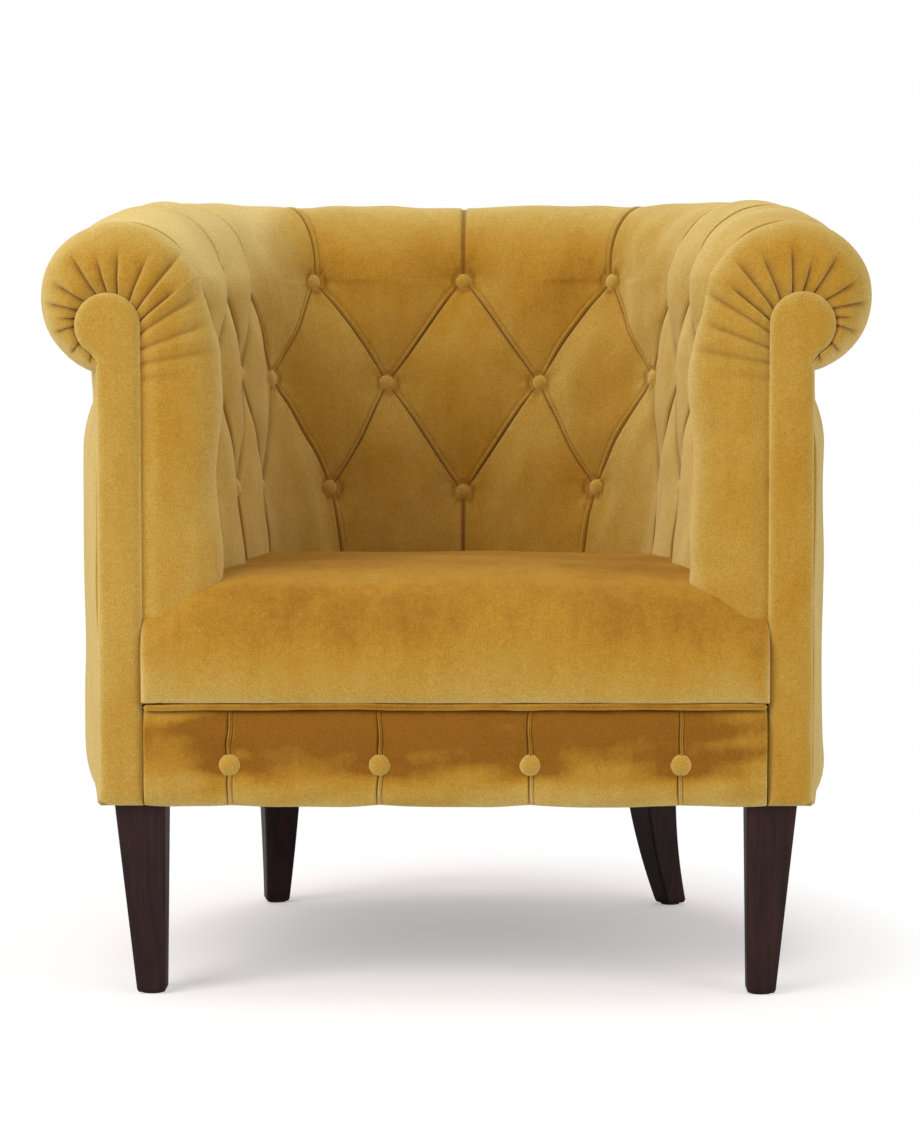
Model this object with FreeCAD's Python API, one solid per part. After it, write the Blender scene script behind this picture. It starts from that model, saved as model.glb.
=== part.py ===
import FreeCAD, Part
import math
import os

from FreeCAD import Vector

# A deep-buttoned tub armchair: a hardwood frame, zigzag seat springs, padding, rolled arms and back,
# buttons, and four turned-out legs. Each piece is written to parts/NAME.step.
#
# Millimetres, +Z up, the front of the chair faces -Y. Shapes are made in a plan frame whose Y = 0 is
# the front face of the arm facings, and save() moves them so that the origin lies on the floor under
# the middle of the chair. "Run" is a length along the button line, from the middle of the back.

# ---- driving dimensions: the whole chair ----
WIDTH = 852.0               # across the two arm rolls
HEIGHT = 839.0              # floor to the top of the back roll
DEPTH = 724.0               # nose of the seat to the back of the back roll
BODY_BOTTOM = 198.0         # floor to the underside of the body, which is the length of the legs
SEAT_HEIGHT = 430.0         # floor to the flat of the seat
SEAT_NOSE = 12.0            # the seat stands out in front of the arm facings
SEAT_NOSE_R = 50.0          # rounding of the seat's top front edge
SEAT_NOSE_SHARE = 0.8       # that rounding is at most this share of the seat's thickness

# ---- the scroll roll over the arms and the back ----
ROLL_R = 76.0
ROLL_SET = 75.0             # the roll's axis lies outside the button line
ROLL_DROP = 46.0            # the axis is lower at the front of the arms than at the back
ROLL_RISE = 170.0           # run over which that drop dies away
ROLL_FULL_Y = 65.0          # from here back the roll has its full radius
ROLL_FRONT_Y = 12.0
ROLL_PUFF = 20.0            # the gathered front end is this much smaller in radius
ROLL_CORNER_SECTIONS = 6    # sections that shape the roll in each corner
ROLL_BACK_SECTIONS = 3      # in each half of the back
ROLL_ARM_SECTIONS = 5       # along each arm
ROLL_NOSE_SECTIONS = 6      # at its gathered front end

# ---- plan of the inside: the line that the buttons lie on ----
TOE_IN = math.radians(5.515)
CORNER_R = 140.0
BACK_R = 400.0
LEAN_ARM = 24.0             # the inside leans in towards the seat, at the arms
LEAN_BACK = 40.0            # and at the back
CORNER_TIGHTEN = 2.0        # the corner's radius loses this much per mm that the back leans further

# ---- padding and buttons ----
PAD_PROUD = 20.0            # the padding's crowns stand in front of the button line
PAD_BACK = 37.0             # the padding's hidden side, behind the button line
PAD_FRONT_Y = 2.0
PAD_FRONT_R = 28.0          # the arm padding rounds into its front end
BUTTON_D = 22.0
BUTTON_T = 9.0
BUTTON_SINK = 5.0           # the back of a button lies behind the button line
BUTTON_COLUMNS = 4          # columns on each side of the middle one
COLUMN_EVENNESS = 0.917     # under 1, the columns at the back are further apart
FRONT_BUTTON_GAP = 85.7     # run from the last column to the front of the arm
ROW_TOP_DROP = 15.0         # the top row lies below the back roll's axis
ROW_BOTTOM_RISE = 70.0      # the bottom row lies above the seat
ROW_SLOPE = (-7.0, 24.0, 21.0)  # each row's rise from the back to the last column, top row first
WELL_MOUTH_R = 28.0
WELL_PAST = 6.0             # a button's well reaches this far past the cover, and past its edge
TIE_R = 1.0
TIE_PAST = 1.0
BORDER_BUTTONS = 4
BORDER_BUTTON_PITCH = 153.6
BORDER_BUTTON_UP = 43.0     # above the underside of the body

# ---- arm facings ----
FACING_SET = 38.6           # inner edge of the facing, outside the button line's front end
FACING_W = 45.0
FACING_PAD_T = 12.0
FACING_BOARD_T = 15.0
FACING_INSET = 2.0          # the board is this much smaller than its padded cover
BULB_R = 33.4
BULB_DROP = 28.0            # the head of the facing lies below the roll's axis
NECK_R = 18.0
HEAD_ARC_TURN = 0.4         # the head's arc is drawn through the point this far from its top

# ---- outside panels ----
SIDE_BULGE = 31.5           # the outside swells beyond the facing's outer edge
SIDE_WIDEST_Y = 220.0
OUTER_CORNER_R = 250.0
OUTER_BACK_SET = 140.0      # outside back surface, behind the button line
PANEL_T = 11.0
PANEL_EDGE_R = 9.0
PANEL_EDGE_SHARE = 0.85     # that rounding is at most this share of the panel's thickness
PANEL_TOP_DROP = 43.0       # the panels end under the roll, this far below its axis

# ---- frame ----
COVER_T = 1.5               # dust cover under the frame
RAIL_T = 26.0
BORDER_H = 99.0             # underside of the body to the top of the front border
RAIL_GAP = 2.0              # frame to padded panel
STUD_SET = 44.0             # inner face of the posts and top rails, outside the button line
TOP_RAIL_W = 40.0
TOP_RAIL_H = 50.0
POST_W = 36.0
POST_D = 60.0
REAR_POST = 45.0
STAY_UP = 33.0              # stay rails stand above the bottom rails
STAY_H = 40.0
UPRIGHT_W = 45.0
UPRIGHT_D = 22.0
UPRIGHT_RUN = 90.0
SPRING_RAIL_BACK = 213.0     # back face of the rear spring rail, in front of the outside back
BLOCK_T = 25.0
BLOCK_MARGIN = 10.0
REAR_BLOCK_ACROSS = 72.0
REAR_BLOCK_ALONG = 86.0
DOWEL_R = 5.0
DOWEL_LENGTH = 60.0
DOWEL_DROPS = (17.0, 52.0)  # below the top of the front rail
BOARD_GAP = 1.0             # facing board to front rail and post

# ---- seat suspension ----
SPRINGS = 5
SPRING_PITCH = 108.0
SPRING_WIRE_R = 1.9
SPRING_HALF_W = 15.0
SPRING_ROWS = 19
CLIP_SIZE = (24.0, 10.0, 5.3)
PLATFORM_T = 2.0
WEB_T = 1.5
WEB_W = 50.0
ARM_WEB_SHARES = (0.25, 0.5, 0.75)  # places along the arm's open stretch
BACK_WEBS = 4
BACK_WEB_PITCH = 110.0
PIPING_R = 4.0
BORDER_PROUD = 2.0          # in front of the facings
BORDER_GAP = 1.5            # between the ends of the border and the facings

# ---- legs ----
LEG_TOP = 52.0
LEG_FOOT = 30.0
REAR_LEG_TOP = 51.0
REAR_LEG_FOOT = 28.0
LEG_EDGE_R = 3.0
FRONT_LEG_IN = 14.5         # outer face of a front leg, inside the facing's outer edge
FRONT_LEG_BACK = 14.0       # front face of a front leg, behind the facings
FRONT_FOOT_OUT = 1.8        # inner edge of the foot, outside the inner edge of the leg's top
FRONT_FOOT_FORWARD = 1.0
REAR_LEG_SET = 74.0         # centre of a rear leg's top, outside the button line
REAR_LEG_ANGLE = math.radians(56.0)
REAR_LEG_SWEEP = 32.0
REAR_LEG_TURNS = {"left": math.radians(12.5), "right": math.radians(55.0)}
GLIDE_R = 11.0
GLIDE_T = 2.0
BOLT_R = 4.0
BOLT_CLEARANCE = 0.05
BOLT_IN_LEG = 25.0
TEE_NUT_R = 10.0
TEE_NUT_T = 1.5
SOFT_GAP = 0.3              # between soft pieces that lie against each other
NEAR = 0.01                 # edges this close to a level or a radius are on it

# ---- values worked out from these ----
UP = Vector(0, 0, 1)
ALONG_X = Vector(1, 0, 0)
ALONG_Y = Vector(0, 1, 0)
FRAME_BOTTOM = BODY_BOTTOM + COVER_T
ORIGIN_Y = DEPTH / 2 - SEAT_NOSE
ROLL_Z = HEIGHT - ROLL_R
ROLL_FRONT_Z = ROLL_Z - ROLL_DROP
ARM_NORMAL = Vector(math.cos(TOE_IN), math.sin(TOE_IN), 0)
ARM_REARWARD = Vector(-math.sin(TOE_IN), math.cos(TOE_IN), 0)
BACK_CENTRE = Vector(0, DEPTH - SEAT_NOSE - ROLL_R - ROLL_SET - BACK_R, 0)
ARM_LINE_X = (WIDTH / 2 - ROLL_R - ROLL_SET / math.cos(TOE_IN)
              + ROLL_FULL_Y * math.tan(TOE_IN))
FACING_X = ARM_LINE_X + FACING_SET
FACING_OUT_X = FACING_X + FACING_W
SPRING_RAIL_Y = BACK_CENTRE.y + BACK_R + OUTER_BACK_SET - SPRING_RAIL_BACK - RAIL_T
RAIL_Y = FACING_PAD_T + FACING_BOARD_T + BOARD_GAP
RAIL_TOP = BODY_BOTTOM + BORDER_H
STAY_BOTTOM = RAIL_TOP + STAY_UP
PAD_TOP = ROLL_Z - PAD_PROUD
SEAT_BOTTOM = RAIL_TOP + 2 * PIPING_R
FRONT_LEG_X = FACING_OUT_X - FRONT_LEG_IN - LEG_TOP / 2
FRONT_LEG_Y = FRONT_LEG_BACK + LEG_TOP / 2
TOP_ROW_Z = ROLL_Z - ROW_TOP_DROP
BOTTOM_ROW_Z = SEAT_HEIGHT + ROW_BOTTOM_RISE


def tangent_junction(arm_out, back_out, corner_r):
    """Where the arm line meets a corner arc that touches it and, from inside, the back arc."""
    front = Vector(ARM_LINE_X, 0, 0) + ARM_NORMAL * arm_out
    offset = front - ARM_NORMAL * corner_r - BACK_CENTRE
    along = offset.dot(ARM_REARWARD)
    reach = along ** 2 - offset.dot(offset) + (BACK_R + back_out - corner_r) ** 2
    return front + ARM_REARWARD * (math.sqrt(reach) - along)


JUNCTION = tangent_junction(0, 0, CORNER_R)


class Plan:
    """The U of the back and arms, seen from above, moved outwards from the button line.

    Each half is the back arc, a corner arc and the straight arm line, all tangent.
    """

    def __init__(self, arm_out, back_out):
        self.back_r = BACK_R + back_out
        self.corner_r = CORNER_R + arm_out + CORNER_TIGHTEN * (back_out - arm_out)
        self.junction = tangent_junction(arm_out, back_out, self.corner_r)
        self.corner = self.junction - ARM_NORMAL * self.corner_r
        self.back_angle = math.atan2(self.corner.x, self.corner.y - BACK_CENTRE.y)
        self.back_run = self.back_r * self.back_angle
        corner_angle = math.pi / 2 - TOE_IN - self.back_angle
        self.junction_run = self.back_run + self.corner_r * corner_angle
        self.square_run = self.junction_run + (self.junction - JUNCTION).dot(ARM_REARWARD)

    def normal(self, run):
        """Outward direction at a run; a negative run is on the left."""
        distance = abs(run)
        if distance <= self.back_run:
            angle = distance / self.back_r
        elif distance <= self.junction_run:
            angle = self.back_angle + (distance - self.back_run) / self.corner_r
        else:
            angle = math.pi / 2 - TOE_IN
        return Vector(math.copysign(math.sin(angle), run), math.cos(angle), 0)

    def point(self, run, z=0.0):
        """Point at a run, at height z."""
        distance = abs(run)
        normal = self.normal(distance)
        if distance <= self.back_run:
            spot = BACK_CENTRE + normal * self.back_r
        elif distance <= self.junction_run:
            spot = self.corner + normal * self.corner_r
        else:
            spot = self.junction - ARM_REARWARD * (distance - self.junction_run)
        return Vector(math.copysign(spot.x, run), spot.y, z)

    def arm_x(self, y):
        """The arm line's x at a distance y behind the facings."""
        return self.junction.x + (self.junction.y - y) * math.tan(TOE_IN)

    def back_stops(self):
        """Runs at which the curve changes, from the right junction to the left one."""
        return [self.junction_run, self.back_run, -self.back_run, -self.junction_run]

    def arcs(self, z, stops):
        """Arcs between the given runs, at height z."""
        return [Part.Arc(self.point(a, z), self.point((a + b) / 2, z), self.point(b, z)).toShape()
                for a, b in zip(stops, stops[1:])]


BUTTON_PLAN = Plan(0, 0)
ROW_LENGTH = BUTTON_PLAN.junction_run + JUNCTION.y / math.cos(TOE_IN) - FRONT_BUTTON_GAP
ROLL_LEVEL_RUN = BUTTON_PLAN.junction_run + (JUNCTION.y - ROLL_FULL_Y) / math.cos(TOE_IN)


def lean_share(z):
    """0 at the top of the padding, 1 at the seat."""
    return (PAD_TOP - z) / (PAD_TOP - SEAT_HEIGHT)


def leaned_plan(z, out=0.0):
    """The button line at height z, moved outwards by out."""
    share = max(0.0, lean_share(z))
    return Plan(out - LEAN_ARM * share, out - LEAN_BACK * share)


def line(a, b):
    return Part.LineSegment(a, b).toShape()


def prism(edges, vector):
    """Solid between a flat closed outline and its copy moved by vector."""
    return Part.Face(Part.Wire(Part.__sortEdges__(edges))).extrude(vector)


def box(x0, x1, y0, y1, z0, z1):
    return Part.makeBox(x1 - x0, y1 - y0, z1 - z0, Vector(x0, y0, z0))


def mirrored(shape):
    return shape.mirror(Vector(0, 0, 0), ALONG_X)


def corner_arc(before, corner, after, radius):
    """Arc of a radius in the corner of two lines."""
    u = (before - corner).normalize()
    v = (after - corner).normalize()
    half = math.acos(u.dot(v)) / 2
    middle = (u + v).normalize()
    centre = corner + middle * (radius / math.sin(half))
    reach = radius / math.tan(half)
    return Part.Arc(corner + u * reach, centre - middle * radius, corner + v * reach)


def rounded_polygon(points, radius):
    """Closed wire of straight sides and equal corner arcs."""
    count = len(points)
    arcs = [corner_arc(points[i - 1], points[i], points[(i + 1) % count], radius)
            for i in range(count)]
    edges = []
    for i, arc in enumerate(arcs):
        edges.append(arc.toShape())
        edges.append(line(arc.EndPoint, arcs[(i + 1) % count].StartPoint))
    return Part.Wire(edges)


def back_band_wire(inner, outer, z):
    """Outline of a C-shaped band round the back, between two plans, from junction to junction."""
    inside = inner.arcs(z, inner.back_stops())
    outside = outer.arcs(z, outer.back_stops()[::-1])
    left = line(inner.point(-inner.junction_run, z), outer.point(-outer.junction_run, z))
    right = line(outer.point(outer.junction_run, z), inner.point(inner.junction_run, z))
    return Part.Wire(inside + [left] + outside + [right])


def back_band(inner_out, outer_out, z0, z1):
    """Upright C-shaped band between two offsets of the button line."""
    wire = back_band_wire(Plan(inner_out, inner_out), Plan(outer_out, outer_out), z0)
    return Part.Face(wire).extrude(UP * (z1 - z0))


def arm_bar(inner_out, outer_out, y0, run_short, z0, z1):
    """Straight bar beside the right arm line, ending run_short in front of the junction."""
    inner = Plan(inner_out, inner_out)
    outer = Plan(outer_out, outer_out)
    back_in = inner.point(inner.junction_run + run_short, z0)
    back_out = outer.point(outer.junction_run + run_short, z0)
    front_in = Vector(inner.arm_x(y0), y0, z0)
    front_out = Vector(outer.arm_x(y0), y0, z0)
    corners = [front_in, front_out, back_out, back_in, front_in]
    return Part.Face(Part.makePolygon(corners)).extrude(UP * (z1 - z0))


def inside_outline(plan, y0, z):
    """Edges of the whole inside area, from a straight front at y0 round the back."""
    junction = plan.junction_run
    front_right = Vector(plan.arm_x(y0), y0, z)
    front_left = Vector(-front_right.x, y0, z)
    sides = [line(front_right, plan.point(junction, z)), line(plan.point(-junction, z), front_left)]
    return sides[:1] + plan.arcs(z, plan.back_stops()) + sides[1:] + [line(front_left, front_right)]


# ---- the roll ----
def roll_z(run):
    """Height of the roll's axis at a run of the button line."""
    ahead = max(0.0, ROLL_LEVEL_RUN - abs(run))
    return ROLL_Z - ROLL_DROP * math.exp(-ahead / ROLL_RISE)


def roll_radius(y):
    """The roll's radius, which grows from the gathered front end to its full size."""
    share = min(1.0, (y - ROLL_FRONT_Y) / (ROLL_FULL_Y - ROLL_FRONT_Y))
    return ROLL_R - ROLL_PUFF * (1 - share) ** 3


def run_at(y):
    """Run of the right arm's button line at a distance y behind the facings."""
    return BUTTON_PLAN.junction_run + (JUNCTION.y - y) / math.cos(TOE_IN)


def round_section(centre, side, radius):
    """Upright circle as two half circles, so that sections match when they are joined."""
    top = centre + UP * radius
    bottom = centre - UP * radius
    inner = Part.Arc(top, centre - side * radius, bottom).toShape()
    outer = Part.Arc(bottom, centre + side * radius, top).toShape()
    return Part.Wire([inner, outer])


def square_section(centre, side, width, height):
    half = side * (width / 2)
    rise = UP * (height / 2)
    corners = [centre - half - rise, centre + half - rise, centre + half + rise, centre - half + rise]
    return Part.makePolygon(corners + corners[:1])


def stepped(start, end, count):
    """Evenly spaced values from start, with end left out."""
    return [start + (end - start) * i / count for i in range(count)]


def arm_frames(set_out, ys):
    """Centre, sideways direction and y of sections across the right arm, then at the junction."""
    plan = Plan(set_out, set_out)
    frames = [(Vector(plan.arm_x(y), y, roll_z(run_at(y))), ALONG_X, y) for y in ys]
    end = plan.point(plan.junction_run, roll_z(BUTTON_PLAN.junction_run))
    return frames + [(end, ARM_NORMAL, JUNCTION.y)]


def back_frames(set_out):
    """Centre and outward direction of sections round the back, junction to junction."""
    back = BUTTON_PLAN.back_run
    corner = BUTTON_PLAN.junction_run - back
    half = [back + corner * (1 - i / ROLL_CORNER_SECTIONS) for i in range(ROLL_CORNER_SECTIONS)]
    half += [back * (1 - i / ROLL_BACK_SECTIONS) for i in range(ROLL_BACK_SECTIONS)]
    runs = half + [0.0] + [-run for run in reversed(half)]
    return [(BUTTON_PLAN.point(run, roll_z(run)) + BUTTON_PLAN.normal(run) * set_out,
             BUTTON_PLAN.normal(run)) for run in runs]


def arm_roll_solid():
    """The right arm's roll before anything is taken out of it."""
    nose = ROLL_FULL_Y - ROLL_FRONT_Y
    ys = [ROLL_FRONT_Y + nose * (i / ROLL_NOSE_SECTIONS) ** 1.5 for i in range(ROLL_NOSE_SECTIONS)]
    ys += stepped(ROLL_FULL_Y, JUNCTION.y, ROLL_ARM_SECTIONS)
    sections = [round_section(c, side, roll_radius(y)) for c, side, y in arm_frames(ROLL_SET, ys)]
    return Part.makeLoft(sections, True, True)


def back_roll_solid():
    sections = [round_section(c, side, ROLL_R) for c, side in back_frames(ROLL_SET)]
    return Part.makeLoft(sections, True, True)


def arm_top_rail():
    """Right arm's top rail, inside the roll."""
    ys = stepped(RAIL_Y, JUNCTION.y, ROLL_ARM_SECTIONS)
    frames = arm_frames(STUD_SET + TOP_RAIL_W / 2, ys)
    sections = [square_section(c, side, TOP_RAIL_W, TOP_RAIL_H) for c, side, y in frames]
    return Part.makeLoft(sections, True, True)


def back_top_rail():
    sections = [square_section(c, side, TOP_RAIL_W, TOP_RAIL_H)
                for c, side in back_frames(STUD_SET + TOP_RAIL_W / 2)]
    return Part.makeLoft(sections, True, True)


# ---- buttons ----
def column_run(column):
    """Run of a button column on the top row's level; halves lie between whole columns."""
    share = abs(column) / BUTTON_COLUMNS
    return math.copysign(ROW_LENGTH * share ** COLUMN_EVENNESS, column)


def wall_buttons():
    """Centre on the button line and outward direction of every button of the back and arms."""
    whole = [float(k) for k in range(-BUTTON_COLUMNS, BUTTON_COLUMNS + 1)]
    between = [k + 0.5 for k in whole[:-1]]
    middle_z = (TOP_ROW_Z + BOTTOM_ROW_Z) / 2
    rows = zip((whole, between, whole), (TOP_ROW_Z, middle_z, BOTTOM_ROW_Z), ROW_SLOPE)
    places = []
    for columns, row_z, slope in rows:
        for column in columns:
            top_run = column_run(column)
            z = row_z + slope * abs(top_run) / ROW_LENGTH
            plan = leaned_plan(z)
            past = max(0.0, abs(top_run) - BUTTON_PLAN.junction_run)
            within = min(abs(top_run), BUTTON_PLAN.junction_run)
            distance = within * plan.square_run / BUTTON_PLAN.junction_run + past
            run = math.copysign(distance, column)
            places.append((plan.point(run, z), plan.normal(run)))
    return places


def border_buttons():
    first = -BORDER_BUTTON_PITCH * (BORDER_BUTTONS - 1) / 2
    return [(Vector(first + BORDER_BUTTON_PITCH * i, 0, BODY_BOTTOM + BORDER_BUTTON_UP), ALONG_Y)
            for i in range(BORDER_BUTTONS)]


def button(centre, outward):
    """Covered button: a short rim under a low dome, facing away from outward."""
    radius = BUTTON_D / 2
    rim = BUTTON_T / 3
    rise = BUTTON_T - rim
    dome_r = (radius ** 2 + rise ** 2) / (2 * rise)
    back = centre + outward * BUTTON_SINK
    edge = back + UP * radius
    shoulder = edge - outward * rim
    apex = back - outward * BUTTON_T
    half = math.asin(radius / dome_r) / 2
    ball = apex + outward * dome_r
    crown = ball - outward * (dome_r * math.cos(half)) + UP * (dome_r * math.sin(half))
    outline = Part.Wire([line(back, edge), line(edge, shoulder),
                         Part.Arc(shoulder, crown, apex).toShape(), line(apex, back)])
    return Part.Face(outline).revolve(back, outward, 360)


def well(centre, outward, depth, mouth):
    """Hollow that a button sits in, from its back to past the padding's face."""
    back = centre + outward * BUTTON_SINK
    return Part.makeCone(BUTTON_D / 2 + SOFT_GAP, mouth, depth, back, outward * -1)


def tie(centre, outward, length, radius):
    """Twine, or its hole, from a button's back into the frame."""
    return Part.makeCylinder(radius, length, centre + outward * BUTTON_SINK, outward)


# ---- padding ----
def arm_padding_wire(front_z, back_z):
    """Plan outline of the right arm's padding, whose height changes evenly from front to back."""
    def placed(point, z):
        return Vector(point.x, point.y, z)

    front_plan = leaned_plan(front_z, -PAD_PROUD)
    back_plan = leaned_plan(back_z, -PAD_PROUD)
    outer = Plan(PAD_BACK, PAD_BACK)
    front_out = Vector(outer.arm_x(PAD_FRONT_Y), PAD_FRONT_Y, 0)
    front_in = Vector(front_plan.arm_x(PAD_FRONT_Y), PAD_FRONT_Y, 0)
    back_in = back_plan.point(back_plan.junction_run)
    back_out = outer.point(outer.junction_run)
    nose = corner_arc(front_out, front_in, back_in, PAD_FRONT_R)

    def height(point):
        share = (point.y - PAD_FRONT_Y) / (back_out.y - PAD_FRONT_Y)
        return front_z + (back_z - front_z) * share

    spots = [front_out, nose.StartPoint, nose.value((nose.FirstParameter + nose.LastParameter) / 2),
             nose.EndPoint, back_in, back_out]
    a, b, c, d, e, f = [placed(spot, height(spot)) for spot in spots]
    return Part.Wire([line(a, b), Part.Arc(b, c, d).toShape(), line(d, e), line(e, f), line(f, a)])


def arm_padding():
    top = arm_padding_wire(PAD_TOP - ROLL_DROP, PAD_TOP)
    return Part.makeLoft([arm_padding_wire(SEAT_HEIGHT, SEAT_HEIGHT), top], True, True)


def back_padding():
    outer = Plan(PAD_BACK, PAD_BACK)
    wires = [back_band_wire(leaned_plan(z, -PAD_PROUD), outer, z) for z in (SEAT_HEIGHT, PAD_TOP)]
    return Part.makeLoft(wires, True, True)


def seat_cushion():
    """Seat stuffing, with its rounded nose."""
    edges = inside_outline(Plan(PAD_BACK, PAD_BACK), -SEAT_NOSE, SEAT_BOTTOM)
    block = prism(edges, UP * (SEAT_HEIGHT - SEAT_BOTTOM))
    nose = [e for e in block.Edges
            if abs(e.BoundBox.YMax + SEAT_NOSE) < NEAR and abs(e.BoundBox.ZMin - SEAT_HEIGHT) < NEAR]
    return block.makeFillet(min(SEAT_NOSE_R, (SEAT_HEIGHT - SEAT_BOTTOM) * SEAT_NOSE_SHARE), nose)


def facing(inset, y, thickness, bottom):
    """Paddle-shaped arm front: a straight strip with a round head, and a neck on its outer side."""
    inner = FACING_X + inset
    outer = FACING_OUT_X - inset
    radius = BULB_R - inset
    neck = NECK_R + inset
    head = Vector(FACING_X + BULB_R, y, ROLL_FRONT_Z - BULB_DROP)
    neck_x = outer + neck
    neck_z = head.z - math.sqrt((radius + neck) ** 2 - (neck_x - head.x) ** 2)
    neck_centre = Vector(neck_x, y, neck_z)
    towards = (neck_centre - head).normalize()
    joint = head + towards * radius
    middle = neck_centre + ((joint - neck_centre) + Vector(-neck, 0, 0)).normalize() * neck
    top = head + Vector(math.sin(HEAD_ARC_TURN), 0, math.cos(HEAD_ARC_TURN)) * radius
    foot_out = Vector(outer, y, bottom)
    foot_in = Vector(inner, y, bottom)
    side_in = Vector(inner, y, head.z)
    edges = [line(foot_in, foot_out), line(foot_out, Vector(outer, y, neck_z)),
             Part.Arc(Vector(outer, y, neck_z), middle, joint).toShape(),
             Part.Arc(joint, top, side_in).toShape(), line(side_in, foot_in)]
    return Part.Face(Part.Wire(edges)).extrude(ALONG_Y * thickness)


# ---- outside ----
SIDE_RUN_Y = SIDE_WIDEST_Y - FACING_PAD_T * 2 / 3
SIDE_R = (SIDE_BULGE ** 2 + SIDE_RUN_Y ** 2) / (2 * SIDE_BULGE)
SIDE_CENTRE = Vector(FACING_OUT_X + SIDE_BULGE - SIDE_R, SIDE_WIDEST_Y, 0)
OUTER_BACK_R = BACK_R + OUTER_BACK_SET


def outer_corner_centre():
    """Centre of the corner arc that touches the side arc and the back arc from inside."""
    to_side = SIDE_R - OUTER_CORNER_R
    to_back = OUTER_BACK_R - OUTER_CORNER_R
    between = BACK_CENTRE - SIDE_CENTRE
    apart = between.Length
    along = (to_side ** 2 - to_back ** 2 + apart ** 2) / (2 * apart)
    across = math.sqrt(to_side ** 2 - along ** 2)
    unit = between.normalize()
    return SIDE_CENTRE + unit * along + Vector(-unit.y, unit.x, 0) * across


OUTER_CORNER = outer_corner_centre()


class Outside:
    """Outer surface of the body seen from above, moved inwards by inset."""

    def __init__(self, inset):
        self.side_r = SIDE_R - inset
        self.corner_r = OUTER_CORNER_R - inset
        self.back_r = OUTER_BACK_R - inset
        self.side_end = SIDE_CENTRE + (OUTER_CORNER - SIDE_CENTRE).normalize() * self.side_r
        self.back_end = BACK_CENTRE + (OUTER_CORNER - BACK_CENTRE).normalize() * self.back_r

    def side_point(self, y, z):
        """Point of the side arc at a distance y behind the facings."""
        return Vector(SIDE_CENTRE.x + math.sqrt(self.side_r ** 2 - (y - SIDE_CENTRE.y) ** 2), y, z)

    def side_arc(self, y0, z):
        """Side arc from y0 to the corner arc."""
        end = Vector(self.side_end.x, self.side_end.y, z)
        return Part.Arc(self.side_point(y0, z), self.side_point((y0 + end.y) / 2, z), end).toShape()

    def corner_arc(self, z):
        """Corner arc from the side to the back."""
        start = Vector(self.side_end.x, self.side_end.y, z)
        end = Vector(self.back_end.x, self.back_end.y, z)
        middle = (start + end) * 0.5 - Vector(OUTER_CORNER.x, OUTER_CORNER.y, z)
        bulge = Vector(OUTER_CORNER.x, OUTER_CORNER.y, z) + middle.normalize() * self.corner_r
        return Part.Arc(start, bulge, end).toShape()

    def back_arc(self, z):
        end = Vector(self.back_end.x, self.back_end.y, z)
        middle = Vector(0, BACK_CENTRE.y + self.back_r, z)
        return Part.Arc(end, middle, Vector(-end.x, end.y, z)).toShape()


def outside_arm(inset, thickness, y0, z0, z1):
    """Band behind the right side surface, from y0 to the corner arc."""
    outer = Outside(inset)
    inner = Outside(inset + thickness)
    edges = [outer.side_arc(y0, z0), inner.side_arc(y0, z0),
             line(outer.side_point(y0, z0), inner.side_point(y0, z0)),
             line(Vector(outer.side_end.x, outer.side_end.y, z0),
                  Vector(inner.side_end.x, inner.side_end.y, z0))]
    return prism(edges, UP * (z1 - z0))


def outside_back(inset, thickness, z0, z1):
    """Band inside the back surface and both outer corners."""
    edges = []
    for surface in (Outside(inset), Outside(inset + thickness)):
        corner = surface.corner_arc(z0)
        edges += [corner, mirrored(corner), surface.back_arc(z0)]
    for side in (1, -1):
        a = Outside(inset).side_end
        b = Outside(inset + thickness).side_end
        edges.append(line(Vector(side * a.x, a.y, z0), Vector(side * b.x, b.y, z0)))
    return prism(edges, UP * (z1 - z0))


def rounded_foot(panel, z0):
    """Round the panel's outer bottom edge."""
    low = [e for e in panel.Edges if e.BoundBox.ZMax < z0 + NEAR]
    arcs = [e for e in low if e.Curve.TypeId == "Part::GeomCircle"]
    outer = [e for e in arcs if any(abs(e.Curve.Radius - r) < NEAR
                                    for r in (SIDE_R, OUTER_CORNER_R, OUTER_BACK_R))]
    return panel.makeFillet(min(PANEL_EDGE_R, PANEL_T * PANEL_EDGE_SHARE), outer)


# ---- seat springs ----
def zigzag_spring(x, y0, y1, z):
    """One spring: rows across, joined by half circles, as a wire of round section."""
    pitch = (y1 - y0) / (SPRING_ROWS - 1)
    edges = []
    for row in range(SPRING_ROWS):
        y = y0 + row * pitch
        side = 1 if row % 2 == 0 else -1
        start = Vector(x - side * SPRING_HALF_W, y, z)
        end = Vector(x + side * SPRING_HALF_W, y, z)
        edges.append(line(start, end))
        if row < SPRING_ROWS - 1:
            bulge = Vector(end.x + side * pitch / 2, y + pitch / 2, z)
            edges.append(Part.Arc(end, bulge, Vector(end.x, y + pitch, z)).toShape())
    path = Part.Wire(edges)
    start = Vector(x - SPRING_HALF_W, y0, z)
    profile = Part.Wire([Part.Circle(start, ALONG_X, SPRING_WIRE_R).toShape()])
    return path.makePipeShell([profile], True, False)


# ---- legs ----
def square_at(centre, half, turn, z):
    """Square with rounded corners, turned about its centre."""
    u = Vector(math.cos(turn), math.sin(turn), 0) * half
    v = Vector(-math.sin(turn), math.cos(turn), 0) * half
    place = Vector(centre.x, centre.y, z)
    return rounded_polygon([place - u - v, place + u - v, place + u + v, place - u + v], LEG_EDGE_R)


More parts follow.
